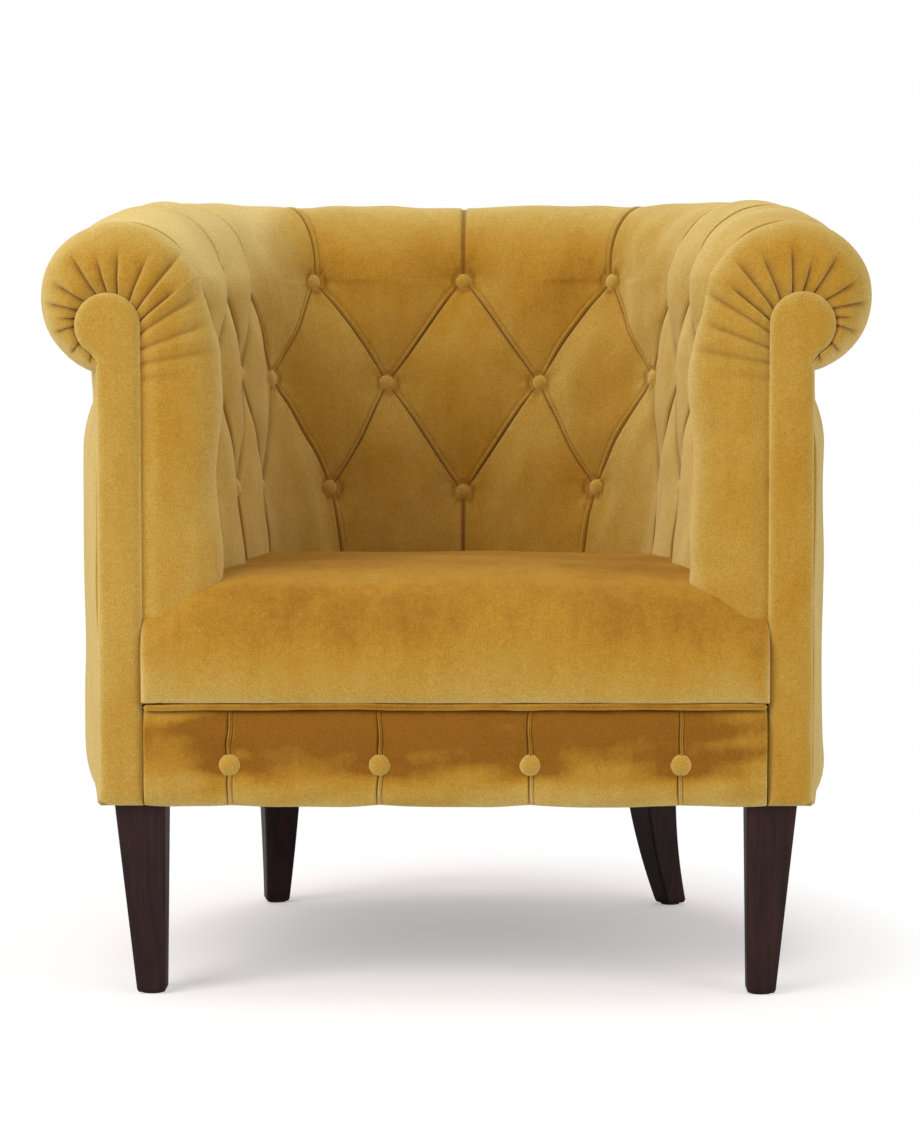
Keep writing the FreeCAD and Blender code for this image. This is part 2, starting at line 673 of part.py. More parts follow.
def front_leg():
    """Straight square taper whose inner edge stays upright."""
    inner_edge = FRONT_LEG_X - LEG_TOP / 2
    foot = Vector(inner_edge + FRONT_FOOT_OUT + LEG_FOOT / 2, FRONT_LEG_Y - FRONT_FOOT_FORWARD, 0)
    top = square_at(Vector(FRONT_LEG_X, FRONT_LEG_Y, 0), LEG_TOP / 2, 0, BODY_BOTTOM)
    low = square_at(foot, LEG_FOOT / 2, 0, GLIDE_T + LEG_EDGE_R)
    end = square_at(foot, LEG_FOOT / 2 - LEG_EDGE_R / 2, 0, GLIDE_T)
    leg = Part.makeLoft([top, low], True, True).fuse(Part.makeLoft([low, end], True, True))
    return leg.removeSplitter(), foot


def rear_leg_top():
    """Centre of the right rear leg's top."""
    direction = Vector(math.cos(REAR_LEG_ANGLE), math.sin(REAR_LEG_ANGLE), 0)
    return BUTTON_PLAN.corner + direction * (CORNER_R + REAR_LEG_SET)


def rear_leg(turn):
    """Sabre leg on the right: it sweeps outwards towards its foot, in the direction turn gives."""
    top = rear_leg_top()
    sweep = Vector(math.sin(turn), math.cos(turn), 0) * REAR_LEG_SWEEP
    levels = [0.0, 0.25, 0.5, 0.75, 1.0]
    drop = BODY_BOTTOM - GLIDE_T - LEG_EDGE_R
    sections = []
    for share in levels:
        half = (REAR_LEG_TOP + (REAR_LEG_FOOT - REAR_LEG_TOP) * share) / 2
        centre = top + sweep * share ** 2
        sections.append(square_at(centre, half, -turn, BODY_BOTTOM - drop * share))
    foot = top + sweep
    end = square_at(foot, REAR_LEG_FOOT / 2 - LEG_EDGE_R / 2, -turn, GLIDE_T)
    curved = Part.makeLoft(sections, True, False)
    return curved.fuse(Part.makeLoft([sections[-1], end], True, True)), foot


def drilled(leg, top):
    """Leg with the hole for its bolt."""
    start = Vector(top.x, top.y, BODY_BOTTOM - BOLT_IN_LEG)
    return leg.cut(Part.makeCylinder(BOLT_R, BOLT_IN_LEG + 1, start, UP))


def glide(foot):
    return Part.makeCylinder(GLIDE_R, GLIDE_T, Vector(foot.x, foot.y, 0), UP)


def block_square(centre, half_across, half_along, turn, z0, z1):
    """Upright block turned in plan."""
    u = Vector(math.cos(turn), math.sin(turn), 0) * half_across
    v = Vector(-math.sin(turn), math.cos(turn), 0) * half_along
    place = Vector(centre.x, centre.y, z0)
    corners = [place - u - v, place + u - v, place + u + v, place - u + v]
    return Part.Face(Part.makePolygon(corners + corners[:1])).extrude(UP * (z1 - z0))


# ---- writing ----
def save(name, shape):
    """Move a shape to the chair's own origin and write it."""
    moved = shape.copy()
    moved.translate(Vector(0, -ORIGIN_Y, 0))
    if not moved.isValid() or not moved.Solids:
        raise ValueError(name + " is not a valid solid")
    moved.exportStep("parts/" + name + ".step")
    print(f"{name:24s} {len(moved.Solids):3d} solids {moved.Volume / 1000:10.1f} cm3")


def save_pair(name, shape):
    """Write a right-hand shape and its mirror image."""
    save(name + "_right", shape)
    save(name + "_left", mirrored(shape))


def save_group(name, shapes):
    save(name, Part.makeCompound(shapes))


def build_frame():
    """Hardwood frame, dowels, blocks and leg fixings.

    Returns the solids that the right arm's roll wraps, and those that the back roll wraps.
    """
    post_x = FACING_X + FACING_INSET + BOARD_GAP / 2
    post_top = ROLL_FRONT_Z - TOP_RAIL_H / 2
    rear_plan = Plan(STUD_SET, STUD_SET)
    top_rail = arm_top_rail()
    back_rail_top = back_top_rail()

    block_x = FRONT_LEG_X - LEG_TOP / 2 - BLOCK_MARGIN
    front_block = box(block_x, post_x + POST_W, RAIL_Y, RAIL_Y + POST_D + BLOCK_MARGIN,
                      FRAME_BOTTOM, FRAME_BOTTOM + BLOCK_T)
    leg_top = rear_leg_top()
    rear_block = block_square(leg_top, REAR_BLOCK_ACROSS / 2, REAR_BLOCK_ALONG / 2, REAR_LEG_ANGLE,
                              FRAME_BOTTOM, FRAME_BOTTOM + BLOCK_T)
    room = prism(body_outline(PANEL_T + RAIL_GAP, RAIL_Y, FRAME_BOTTOM), UP * BLOCK_T)
    rear_block = rear_block.common(room)
    blocks = [front_block, mirrored(front_block), rear_block, mirrored(rear_block)]

    post = box(post_x, post_x + POST_W, RAIL_Y, RAIL_Y + POST_D, FRAME_BOTTOM, post_top)
    post = post.cut(front_block)
    front_rail = box(-post_x, post_x, RAIL_Y, RAIL_Y + RAIL_T, FRAME_BOTTOM, RAIL_TOP)
    front_rail = front_rail.cut(Part.makeCompound(blocks[:2]))

    dowels = []
    dowel_y = RAIL_Y + RAIL_T / 2
    for side in (-1, 1):
        for drop in DOWEL_DROPS:
            start = Vector(side * post_x - DOWEL_LENGTH / 2, dowel_y, RAIL_TOP - drop)
            dowels.append(Part.makeCylinder(DOWEL_R, DOWEL_LENGTH, start, ALONG_X))
    all_dowels = Part.makeCompound(dowels)
    front_rail = front_rail.cut(all_dowels)
    post = post.cut(all_dowels)

    inset = PANEL_T + RAIL_GAP
    post_inner = rear_plan.point(rear_plan.junction_run)
    side_rail_x = Outside(inset + RAIL_T).side_point(post_inner.y, 0).x
    post_width = (side_rail_x - post_inner.x) / math.cos(TOE_IN)
    rear_top = roll_z(run_at(JUNCTION.y - REAR_POST / 2)) - TOP_RAIL_H / 2
    rear_post = block_square(post_inner + ARM_NORMAL * (post_width / 2), post_width / 2,
                             REAR_POST / 2, TOE_IN, FRAME_BOTTOM, rear_top)
    side_rail = outside_arm(inset, RAIL_T, RAIL_Y + POST_D, FRAME_BOTTOM, RAIL_TOP)
    side_rail = side_rail.cut(Part.makeCompound([rear_post, rear_block, front_block, post]))
    back_rail = outside_back(inset, RAIL_T, FRAME_BOTTOM, RAIL_TOP)
    back_rail = back_rail.cut(Part.makeCompound([rear_block, mirrored(rear_block)]))

    side_face = Outside(inset + RAIL_T).side_point(SPRING_RAIL_Y + RAIL_T, 0).x - 1
    spring_rail = box(-side_face, side_face, SPRING_RAIL_Y, SPRING_RAIL_Y + RAIL_T,
                      FRAME_BOTTOM + BLOCK_T, RAIL_TOP)

    stay = arm_bar(STUD_SET, STUD_SET + RAIL_T, RAIL_Y + POST_D, REAR_POST / 2,
                   STAY_BOTTOM, STAY_BOTTOM + STAY_H)
    back_stay = back_band(STUD_SET, STUD_SET + RAIL_T, STAY_BOTTOM, STAY_BOTTOM + STAY_H)
    back_stay = back_stay.cut(Part.makeCompound([rear_post, mirrored(rear_post)]))

    uprights = []
    for side in (-1, 1):
        run = side * UPRIGHT_RUN
        normal = BUTTON_PLAN.normal(run)
        centre = BUTTON_PLAN.point(run) + normal * (STUD_SET + UPRIGHT_D / 2)
        turn = math.atan2(normal.y, normal.x)
        upright = block_square(centre, UPRIGHT_D / 2, UPRIGHT_W / 2, turn,
                               STAY_BOTTOM + STAY_H, ROLL_Z)
        uprights.append(upright.cut(back_rail_top))

    tops = [Vector(FRONT_LEG_X, FRONT_LEG_Y, 0), Vector(-FRONT_LEG_X, FRONT_LEG_Y, 0),
            leg_top, Vector(-leg_top.x, leg_top.y, 0)]
    bolts = []
    nuts = []
    holes = []
    bolt_start = BODY_BOTTOM - BOLT_IN_LEG
    bolt_length = BOLT_IN_LEG + COVER_T + BLOCK_T - TEE_NUT_T
    nut_z = FRAME_BOTTOM + BLOCK_T - TEE_NUT_T
    for top in tops:
        bolts.append(Part.makeCylinder(BOLT_R - BOLT_CLEARANCE, bolt_length,
                                       Vector(top.x, top.y, bolt_start), UP))
        hole = Part.makeCylinder(BOLT_R, BLOCK_T + COVER_T + 2,
                                 Vector(top.x, top.y, BODY_BOTTOM - 1), UP)
        seat = Part.makeCylinder(TEE_NUT_R, TEE_NUT_T + 1, Vector(top.x, top.y, nut_z), UP)
        holes.append(hole.fuse(seat))
        nuts.append(Part.makeCylinder(TEE_NUT_R, TEE_NUT_T, Vector(top.x, top.y, nut_z), UP))
    all_holes = Part.makeCompound(holes)

    save("front_rail", front_rail.cut(all_holes))
    save("back_rail", back_rail)
    save("rear_spring_rail", spring_rail.cut(Part.makeCompound([rear_post, mirrored(rear_post)])))
    save("back_stay_rail", back_stay)
    save("back_top_rail", back_rail_top)
    save_pair("side_rail", side_rail)
    save_pair("front_post", post.cut(all_holes))
    save_pair("rear_post", rear_post)
    save_pair("arm_stay_rail", stay)
    save_pair("arm_top_rail", top_rail)
    save_group("back_uprights", uprights)
    save_group("leg_blocks", [block.cut(all_holes) for block in blocks])
    save_group("rail_dowels", dowels)
    save_group("leg_bolts", bolts)
    save_group("tee_nuts", nuts)

    cover_y = RAIL_Y - BOARD_GAP / 2
    cover = prism(body_outline(PANEL_T + RAIL_GAP / 2, cover_y, BODY_BOTTOM), UP * COVER_T)
    save("dust_cover", cover.cut(all_holes))
    return [post, top_rail, rear_post], [back_rail_top, rear_post, mirrored(rear_post)] + uprights


def body_outline(inset, y0, z):
    """Edges of the body's outline inside its outer surface, with a straight front at y0."""
    surface = Outside(inset)
    side = surface.side_arc(y0, z)
    corner = surface.corner_arc(z)
    start = surface.side_point(y0, z)
    front = line(Vector(-start.x, y0, z), start)
    return [front, side, corner, surface.back_arc(z), mirrored(corner), mirrored(side)]


def build_suspension():
    """Zigzag springs, their clips, the seat platform and the back and arm webbing.

    Returns the right arm's straps and the back's.
    """
    y0 = RAIL_Y + RAIL_T / 2
    y1 = SPRING_RAIL_Y + RAIL_T / 2
    z = RAIL_TOP + SPRING_WIRE_R + SOFT_GAP / 2
    first = -SPRING_PITCH * (SPRINGS - 1) / 2
    springs = []
    clips = []
    for i in range(SPRINGS):
        x = first + SPRING_PITCH * i
        springs.append(zigzag_spring(x, y0, y1, z))
        for y in (y0, y1):
            length, width, height = CLIP_SIZE
            clip = box(x - length / 2, x + length / 2, y - width / 2, y + width / 2,
                       RAIL_TOP, RAIL_TOP + height)
            slot_r = SPRING_WIRE_R + SOFT_GAP / 2
            bore = Part.makeCylinder(slot_r, 2 * length, Vector(x - length, y, z), ALONG_X)
            mouth = box(x - length, x + length, y - slot_r, y + slot_r, RAIL_TOP - 1, z)
            clips.append(clip.cut(Part.makeCompound([bore, mouth])))
    save_group("seat_springs", springs)
    save_group("spring_clips", clips)

    sheet = inside_outline(Plan(PAD_BACK, PAD_BACK), PAD_FRONT_Y + PAD_FRONT_R, SEAT_BOTTOM - PLATFORM_T)
    save("seat_platform", prism(sheet, UP * PLATFORM_T))

    web_in = STUD_SET - WEB_T
    arm_straps = []
    for share in ARM_WEB_SHARES:
        y = ROLL_FULL_Y + POST_D / 2 + (JUNCTION.y - ROLL_FULL_Y - POST_D / 2) * share
        run = run_at(y)
        centre = BUTTON_PLAN.point(run) + ARM_NORMAL * (web_in + WEB_T / 2)
        top = roll_z(run) + TOP_RAIL_H / 4
        arm_straps.append(block_square(centre, WEB_T / 2, WEB_W / 2, TOE_IN, STAY_BOTTOM, top))
    save_pair("arm_webbing", Part.makeCompound(arm_straps))

    plan_in = Plan(web_in, web_in)
    plan_out = Plan(STUD_SET, STUD_SET)
    back_straps = []
    for k in range(BACK_WEBS):
        wire = back_band_wire(plan_in, plan_out, STAY_BOTTOM + k * BACK_WEB_PITCH)
        back_straps.append(Part.Face(wire).extrude(UP * WEB_W))
    save_group("back_webbing", back_straps)
    return arm_straps, back_straps


def build_soft(arm_wood, back_wood):
    """Padding, rolls, facings, seat, border, piping, buttons and outside panels.

    arm_wood and back_wood are what the right arm's roll and the back roll are wrapped round.
    """
    walls = wall_buttons()
    fronts = border_buttons()
    wall_depth = BUTTON_SINK + PAD_PROUD + WELL_PAST
    tie_length = STUD_SET - WEB_T - BUTTON_SINK
    hollows = [well(c, n, wall_depth, WELL_MOUTH_R) for c, n in walls]
    hollows += [tie(c, n, tie_length, TIE_R + SOFT_GAP) for c, n in walls]
    hollow = Part.makeCompound(hollows)

    arm_roll = arm_roll_solid()
    back_roll = back_roll_solid()
    rolls = Part.makeCompound([arm_roll, back_roll, mirrored(arm_roll)])
    pad = facing(0, 0, FACING_PAD_T, BODY_BOTTOM)
    board = facing(FACING_INSET, FACING_PAD_T, FACING_BOARD_T, FRAME_BOTTOM)
    board_room = facing(FACING_INSET / 2, 0, RAIL_Y, BODY_BOTTOM)

    right_padding = arm_padding().cut(arm_roll).cut(back_roll).cut(hollow)
    save_pair("arm_padding", right_padding)
    save("back_padding", back_padding().cut(rolls).cut(hollow))
    arm_roll = arm_roll.cut(Part.makeCompound(arm_wood)).cut(board_room)
    save_pair("arm_roll", arm_roll.cut(hollow))
    save("back_roll", back_roll.cut(Part.makeCompound(back_wood)).cut(hollow))
    save_pair("facing_pad", pad)
    save_pair("facing_board", board)
    save("seat_cushion", seat_cushion())

    border_x = FACING_X - BORDER_GAP
    border = box(-border_x, border_x, -BORDER_PROUD, RAIL_Y - BOARD_GAP / 2, BODY_BOTTOM, RAIL_TOP)
    front_hollow = [well(c, n, BUTTON_SINK + WELL_PAST, BUTTON_D / 2 + WELL_PAST) for c, n in fronts]
    front_tie = RAIL_Y - BOARD_GAP / 2 - BUTTON_SINK
    front_hollow += [tie(c, n, front_tie + TIE_PAST, TIE_R + SOFT_GAP) for c, n in fronts]
    save("front_border", border.cut(Part.makeCompound(front_hollow)))
    piping = Part.makeCylinder(PIPING_R, 2 * border_x, Vector(-border_x, -BORDER_PROUD,
                                                             RAIL_TOP + PIPING_R), ALONG_X)
    save("front_piping", piping)

    save_group("wall_buttons", [button(c, n) for c, n in walls])
    save_group("border_buttons", [button(c, n) for c, n in fronts])
    twine = [tie(c, n, tie_length, TIE_R) for c, n in walls]
    twine += [tie(c, n, front_tie, TIE_R) for c, n in fronts]
    save_group("button_ties", twine)

    panel_y = RAIL_Y - BOARD_GAP / 2
    top = ROLL_Z - PANEL_TOP_DROP
    side = rounded_foot(outside_arm(0, PANEL_T, panel_y, BODY_BOTTOM, top), BODY_BOTTOM)
    save_pair("outside_arm_panel", side.cut(rolls))
    back = rounded_foot(outside_back(0, PANEL_T, BODY_BOTTOM, top), BODY_BOTTOM)
    save("outside_back_panel", back.cut(rolls))


def build_legs():
    """Four legs and their glides."""
    right, right_foot = front_leg()
    front_top = Vector(FRONT_LEG_X, FRONT_LEG_Y, 0)
    right = drilled(right, front_top)
    save("front_leg_right", right)
    save("front_leg_left", mirrored(right))
    glides = [glide(right_foot), mirrored(glide(right_foot))]
    leg, foot = rear_leg(REAR_LEG_TURNS["right"])
    save("rear_leg_right", drilled(leg, rear_leg_top()))
    glides.append(glide(foot))
    leg, foot = rear_leg(REAR_LEG_TURNS["left"])
    save("rear_leg_left", mirrored(drilled(leg, rear_leg_top())))
    glides.append(mirrored(glide(foot)))
    save_group("leg_glides", glides)


def main():
    os.makedirs("parts", exist_ok=True)
    arm_wood, back_wood = build_frame()
    arm_straps, back_straps = build_suspension()
    build_soft(arm_wood + arm_straps, back_wood + back_straps)
    build_legs()


main()
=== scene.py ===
"""Deep-buttoned tub armchair: its upholstery, its finishes and its studio, round a fixed frame."""

import logging
import math
from dataclasses import dataclass, field
from enum import Enum
from typing import List, Optional, Sequence, Tuple

import bmesh
import bpy
import numpy as np
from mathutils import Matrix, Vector

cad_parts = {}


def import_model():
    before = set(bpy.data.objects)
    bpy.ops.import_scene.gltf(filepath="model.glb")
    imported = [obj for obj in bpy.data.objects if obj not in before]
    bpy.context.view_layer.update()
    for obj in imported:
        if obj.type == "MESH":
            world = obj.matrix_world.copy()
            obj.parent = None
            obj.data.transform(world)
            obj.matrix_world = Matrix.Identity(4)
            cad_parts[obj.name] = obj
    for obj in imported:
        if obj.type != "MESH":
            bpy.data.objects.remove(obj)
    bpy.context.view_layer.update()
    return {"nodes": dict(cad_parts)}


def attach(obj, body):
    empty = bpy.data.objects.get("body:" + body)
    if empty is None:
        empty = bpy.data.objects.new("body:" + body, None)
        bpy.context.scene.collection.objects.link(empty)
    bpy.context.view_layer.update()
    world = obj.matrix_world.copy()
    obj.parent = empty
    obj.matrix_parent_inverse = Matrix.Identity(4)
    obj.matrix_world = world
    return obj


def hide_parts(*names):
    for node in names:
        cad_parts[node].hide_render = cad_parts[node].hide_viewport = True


LOG = logging.getLogger("armchair")
MM = 0.001
Array = np.ndarray


class Side(Enum):
    """Which half of the chair a piece is for, seen from above with the front below."""

    LEFT = -1
    RIGHT = 1


# ---------------------------------------------------------------- small helpers


def smooth(x: Array) -> Array:
    """Ease between 0 and 1: three x squared less two x cubed, clipped at both ends.

    Args:
        x: share of the way.

    Returns:
        The eased share.
    """
    x = np.clip(x, 0.0, 1.0)
    return x * x * (3.0 - 2.0 * x)


def from_centre(x: Array) -> Array:
    """Distance of each value from its nearest whole number, from 0 to a half."""
    return np.abs(x - np.round(x))


class Ripple:
    """Slow unevenness of stuffed cloth: a sum of plane waves with fixed random phases."""

    def __init__(self, seed: int, count: int, shortest: float, longest: float, height: float) -> None:
        """Draws the waves.

        Args:
            seed: seed of the draw.
            count: how many waves are added up.
            shortest: shortest wavelength in millimetres.
            longest: longest wavelength in millimetres.
            height: root-mean-square height of the sum in millimetres.
        """
        rng = np.random.default_rng(seed)
        lengths = np.exp(rng.uniform(np.log(shortest), np.log(longest), count))
        turns = rng.uniform(0.0, 2.0 * np.pi, count)
        self.waves = 2.0 * np.pi / lengths * np.stack([np.cos(turns), np.sin(turns)])
        self.phases = rng.uniform(0.0, 2.0 * np.pi, count)
        self.height = height * math.sqrt(2.0 / count)

    def __call__(self, a: Array, b: Array) -> Array:
        """Height at a place: the sum over the waves of sin(k dot (a, b) + phase).

        Args:
            a: first coordinate in millimetres.
            b: second coordinate in millimetres.

        Returns:
            Height in millimetres, of the coordinates' shape.
        """
        angle = a[..., None] * self.waves[0] + b[..., None] * self.waves[1] + self.phases
        return self.height * np.sin(angle).sum(axis=-1)


# ---------------------------------------------------------------- meshes


def grid_quads(rows: int, columns: int, wrap_rows: bool = False, wrap_columns: bool = False) -> Array:
    """Faces of a grid of vertices numbered row by row.

    Args:
        rows: number of vertex rows.
        columns: number of vertices in a row.
        wrap_rows: whether the last row joins the first.
        wrap_columns: whether the last column joins the first.

    Returns:
        One row of four vertex numbers per face.
    """
    i = np.arange(rows if wrap_rows else rows - 1)[:, None]
    j = np.arange(columns if wrap_columns else columns - 1)[None, :]
    below = (i + 1) % rows
    beside = (j + 1) % columns
    corners = [i * columns + j, i * columns + beside, below * columns + beside, below * columns + j]
    return np.stack([np.broadcast_to(c, (i.size, j.size)).ravel() for c in corners], axis=1)


def end_caps(rows: int, columns: int) -> List[Array]:
    """The many-sided faces that close the first and last column of a grid wrapped in rows."""
    first = np.arange(rows)[None, :] * columns
    return [first, first[:, ::-1] + columns - 1]


def split_quads(quads: Array, first_diagonal: Array) -> Array:
    """Triangles of the quads, each cut along one of its diagonals.

    Args:
        quads: four vertex numbers per face.
        first_diagonal: true where the cut joins the first and third corner.

    Returns:
        Three vertex numbers per triangle.
    """
    a, b, c, d = quads.T
    along = np.where(first_diagonal[:, None], np.stack([a, b, c], 1), np.stack([b, c, d], 1))
    across = np.where(first_diagonal[:, None], np.stack([a, c, d], 1), np.stack([b, d, a], 1))
    return np.concatenate([along, across])


def signed_volume(points: Array, faces: Sequence[Array]) -> float:
    """Volume inside the faces: a sixth of the sum of the corner triple products of their fans.

    Args:
        points: vertices.
        faces: arrays of faces, each with its own number of corners.

    Returns:
        The volume, negative where the faces point inwards.
    """
    total = 0.0
    for block in faces:
        for k in range(1, block.shape[1] - 1):
            a, b, c = points[block[:, 0]], points[block[:, k]], points[block[:, k + 1]]
            total += float(np.einsum("ij,ij->", a, np.cross(b, c)))
    return total / 6.0


def to_row_frame(points: Array) -> Array:
    """Points in millimetres from the facings' front, moved to the row frame in metres."""
    return (points - np.array([0.0, Tub.origin_y, 0.0])) * MM


def new_piece(name: str, points: Array, faces: Sequence[Array], finish: bpy.types.Material,
              values: Optional[dict] = None) -> bpy.types.Object:
    """A closed mesh object with smooth faces that point outwards.

    Args:
        name: the piece's name.
        points: vertices in millimetres from the facings' front, one per row.
        faces: arrays of faces, each with its own number of corners.
        finish: the piece's material.
        values: named numbers per vertex that the finish reads.

    Returns:
        The new object.
    """
    if signed_volume(points, faces) < 0.0:
        faces = [block[:, ::-1] for block in faces]
    mesh = bpy.data.meshes.new(name)
    corners = np.concatenate([block.ravel() for block in faces]).astype(np.int32)
    counts = np.concatenate([np.full(len(block), block.shape[1]) for block in faces])
    starts = np.concatenate([[0], np.cumsum(counts)[:-1]]).astype(np.int32)
    mesh.vertices.add(len(points))
    mesh.vertices.foreach_set("co", to_row_frame(points).astype(np.float32).ravel())
    mesh.loops.add(len(corners))
    mesh.loops.foreach_set("vertex_index", corners)
    mesh.polygons.add(len(counts))
    mesh.polygons.foreach_set("loop_start", starts)
    mesh.polygons.foreach_set("use_smooth", np.ones(len(counts), dtype=bool))
    for key, numbers in (values or {}).items():
        layer = mesh.attributes.new(key, "FLOAT", "POINT")
        layer.data.foreach_set("value", numbers.astype(np.float32).ravel())
    mesh.update(calc_edges=True)
    mesh.validate()
    mesh.materials.append(finish)
    piece = bpy.data.objects.new(name, mesh)
    bpy.context.collection.objects.link(piece)
    LOG.info("%s: %d vertices, %d faces", name, len(points), len(counts))
    return piece


def dress(piece: bpy.types.Object, nodes: Sequence[str]) -> None:
    """Puts a finished piece on its body and hides the frame nodes that it stands for.

    Args:
        piece: the finished object.
        nodes: frame nodes that the piece stands for.
    """
    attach(piece, "root")
    if nodes:
        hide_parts(*nodes)


# ---------------------------------------------------------------- the tub's plan


@dataclass(frozen=True)
class Tub:
    """Sizes of the tub, in millimetres. x is across, y runs back from the arm facings, z is up."""

    width: float = 852.0
    height: float = 839.0
    depth: float = 724.0
    seat_nose: float = 12.0
    origin_y: float = depth / 2 - seat_nose
    seat_height: float = 430.0
    body_bottom: float = 198.0
    border_top: float = 297.0
    roll_r: float = 76.0
    roll_set: float = 75.0
    roll_drop: float = 46.0
    roll_rise: float = 170.0
    roll_full_y: float = 65.0
    toe_in: float = math.radians(5.515)
    corner_r: float = 140.0
    back_r: float = 400.0
    lean_arm: float = 24.0
    lean_back: float = 40.0
    corner_tighten: float = 2.0
    crown: float = 20.0
    columns: int = 4
    evenness: float = 0.917
    front_gap: float = 85.7
    row_z: Tuple[float, ...] = (748.0, 624.0, 500.0)
    row_slope: Tuple[float, ...] = (-7.0, 24.0, 21.0)
    facing_set: float = 38.6
    facing_w: float = 45.0
    bulb_r: float = 33.4
    bulb_drop: float = 28.0
    neck_r: float = 18.0
    side_bulge: float = 31.5
    side_widest_y: float = 220.0
    outer_corner_r: float = 250.0
    outer_back_set: float = 140.0
    outer_start_y: float = 8.0
    pad_top: float = height - roll_r - crown
    back_centre: complex = 1j * (depth - seat_nose - roll_r - roll_set - back_r)
    out_arm: complex = complex(math.cos(toe_in), math.sin(toe_in))
    rearward: complex = 1j * out_arm
    arm_line_x: float = width / 2 - roll_r - roll_set / math.cos(toe_in) + roll_full_y * math.tan(toe_in)
    facing_x: float = arm_line_x + facing_set


def tangent_junction(arm_out: Array, back_out: Array, corner_r: Array) -> Array:
    """Where an arm line meets the corner arc that touches it and, from inside, the back arc.

    With o the vector from the back's centre to the corner arc's centre when the junction is at
    the line's front end, the way to go along the line solves |o + t u| = back radius less
    corner radius.

    Args:
        arm_out: how far the arm line is moved outwards.
        back_out: how far the back arc is moved outwards.
        corner_r: radius of the corner arc.

    Returns:
        The junction as x + iy.
    """
    front = Tub.arm_line_x + Tub.out_arm * arm_out
    offset = front - Tub.out_arm * corner_r - Tub.back_centre
    along = (offset * np.conj(Tub.rearward)).real
    reach = along ** 2 - np.abs(offset) ** 2 + (Tub.back_r + back_out - corner_r) ** 2
    return front + Tub.rearward * (np.sqrt(reach) - along)


class TubPlan:
    """The U of the back and arms seen from above, for a level of its own at every vertex."""

    def __init__(self, arm_out: Array, back_out: Array) -> None:
        """Works out the arcs and where they join.

        Args:
            arm_out: how far the arm lines are moved outwards, in millimetres.
            back_out: how far the back arc is moved outwards, in millimetres.
        """
        arm_out = np.asarray(arm_out, dtype=float)
        back_out = np.asarray(back_out, dtype=float)
        self.back_r = Tub.back_r + back_out
        self.corner_r = Tub.corner_r + arm_out + Tub.corner_tighten * (back_out - arm_out)
        self.junction = tangent_junction(arm_out, back_out, self.corner_r)
        self.corner = self.junction - Tub.out_arm * self.corner_r
        from_back = self.corner - Tub.back_centre
        self.back_angle = np.arctan2(from_back.real, from_back.imag)
        self.back_run = self.back_r * self.back_angle
        turn = np.pi / 2 - Tub.toe_in - self.back_angle
        self.junction_run = self.back_run + self.corner_r * turn
        base = tangent_junction(0.0, 0.0, Tub.corner_r)
        self.square_run = self.junction_run + ((self.junction - base) * np.conj(Tub.rearward)).real

    def at(self, run: Array) -> Tuple[Array, Array]:
        """Point and outward direction at a run, which is negative on the left.

        Back arc, then corner arc, then straight arm line, all tangent.

        Args:
            run: length along this level's line from the middle of the back.

        Returns:
            Point and direction as x + iy.
        """
        far = np.abs(run)
        on_back = far <= self.back_run
        on_corner = far <= self.junction_run
        turned = self.back_angle + (far - self.back_run) / self.corner_r
        angle = np.where(on_back, far / self.back_r,
                         np.where(on_corner, turned, np.pi / 2 - Tub.toe_in))
        out = 1j * np.exp(-1j * angle)
        straight = self.junction - Tub.rearward * (far - self.junction_run)
        spot = np.where(on_back, Tub.back_centre + out * self.back_r,
                        np.where(on_corner, self.corner + out * self.corner_r, straight))
        left = np.asarray(run) < 0
        return np.where(left, -np.conj(spot), spot), np.where(left, -np.conj(out), out)


BUTTON_PLAN = TubPlan(0.0, 0.0)
JUNCTION_RUN = float(BUTTON_PLAN.junction_run)
JUNCTION_Y = float(BUTTON_PLAN.junction.imag)


def run_at(y: float) -> float:
    """Run of the right arm's button line at a distance y behind the facings."""
    return JUNCTION_RUN + (JUNCTION_Y - y) / math.cos(Tub.toe_in)


ROW_LENGTH = run_at(0.0) - Tub.front_gap
ARM_FRONT_RUN = ROW_LENGTH - Tub.front_gap / 2


def axis_z(run: Array) -> Array:
    """Height of the roll's axis: level at the back, dropping towards the arm fronts.

    Args:
        run: run along the button line.

    Returns:
        The height, which is the full one less the drop times exp of minus the run still ahead.
    """
    ahead = np.maximum(0.0, run_at(Tub.roll_full_y) - np.abs(run))
    return Tub.height - Tub.roll_r - Tub.roll_drop * np.exp(-ahead / Tub.roll_rise)


def column_run(column: Array) -> Array:
    """Run of a column coordinate: the row's length times (|column| / 4) to the evenness."""
    return np.sign(column) * ROW_LENGTH * (np.abs(column) / Tub.columns) ** Tub.evenness


def row_height(row: int, run: Array) -> Array:
    """Height of a button row, which changes evenly from the back to the last column."""
    return Tub.row_z[row] + Tub.row_slope[row] * np.abs(run) / ROW_LENGTH


def wall_point(run: Array, z: Array, out: Array) -> Array:
    """Point of the leaning inside wall.

    The level's line is the button line moved inwards by the lean's share of this height, and
    a run short of the arm's junction is scaled to that level's own length.

    Args:
        run: run on the button line's own level.
        z: height.
        out: how far outside the leaning line.

    Returns:
        Points, with x, y and z last.
    """
    share = np.maximum(0.0, (Tub.pad_top - z) / (Tub.pad_top - Tub.seat_height))
    plan = TubPlan(out - Tub.lean_arm * share, out - Tub.lean_back * share)
    far = np.abs(run)
    own = np.minimum(far, JUNCTION_RUN) * plan.square_run / JUNCTION_RUN
    own = own + np.maximum(0.0, far - JUNCTION_RUN)
    spot, _ = plan.at(np.copysign(own, run))
    return np.stack([spot.real, spot.imag, z + 0.0 * spot.real], axis=-1)


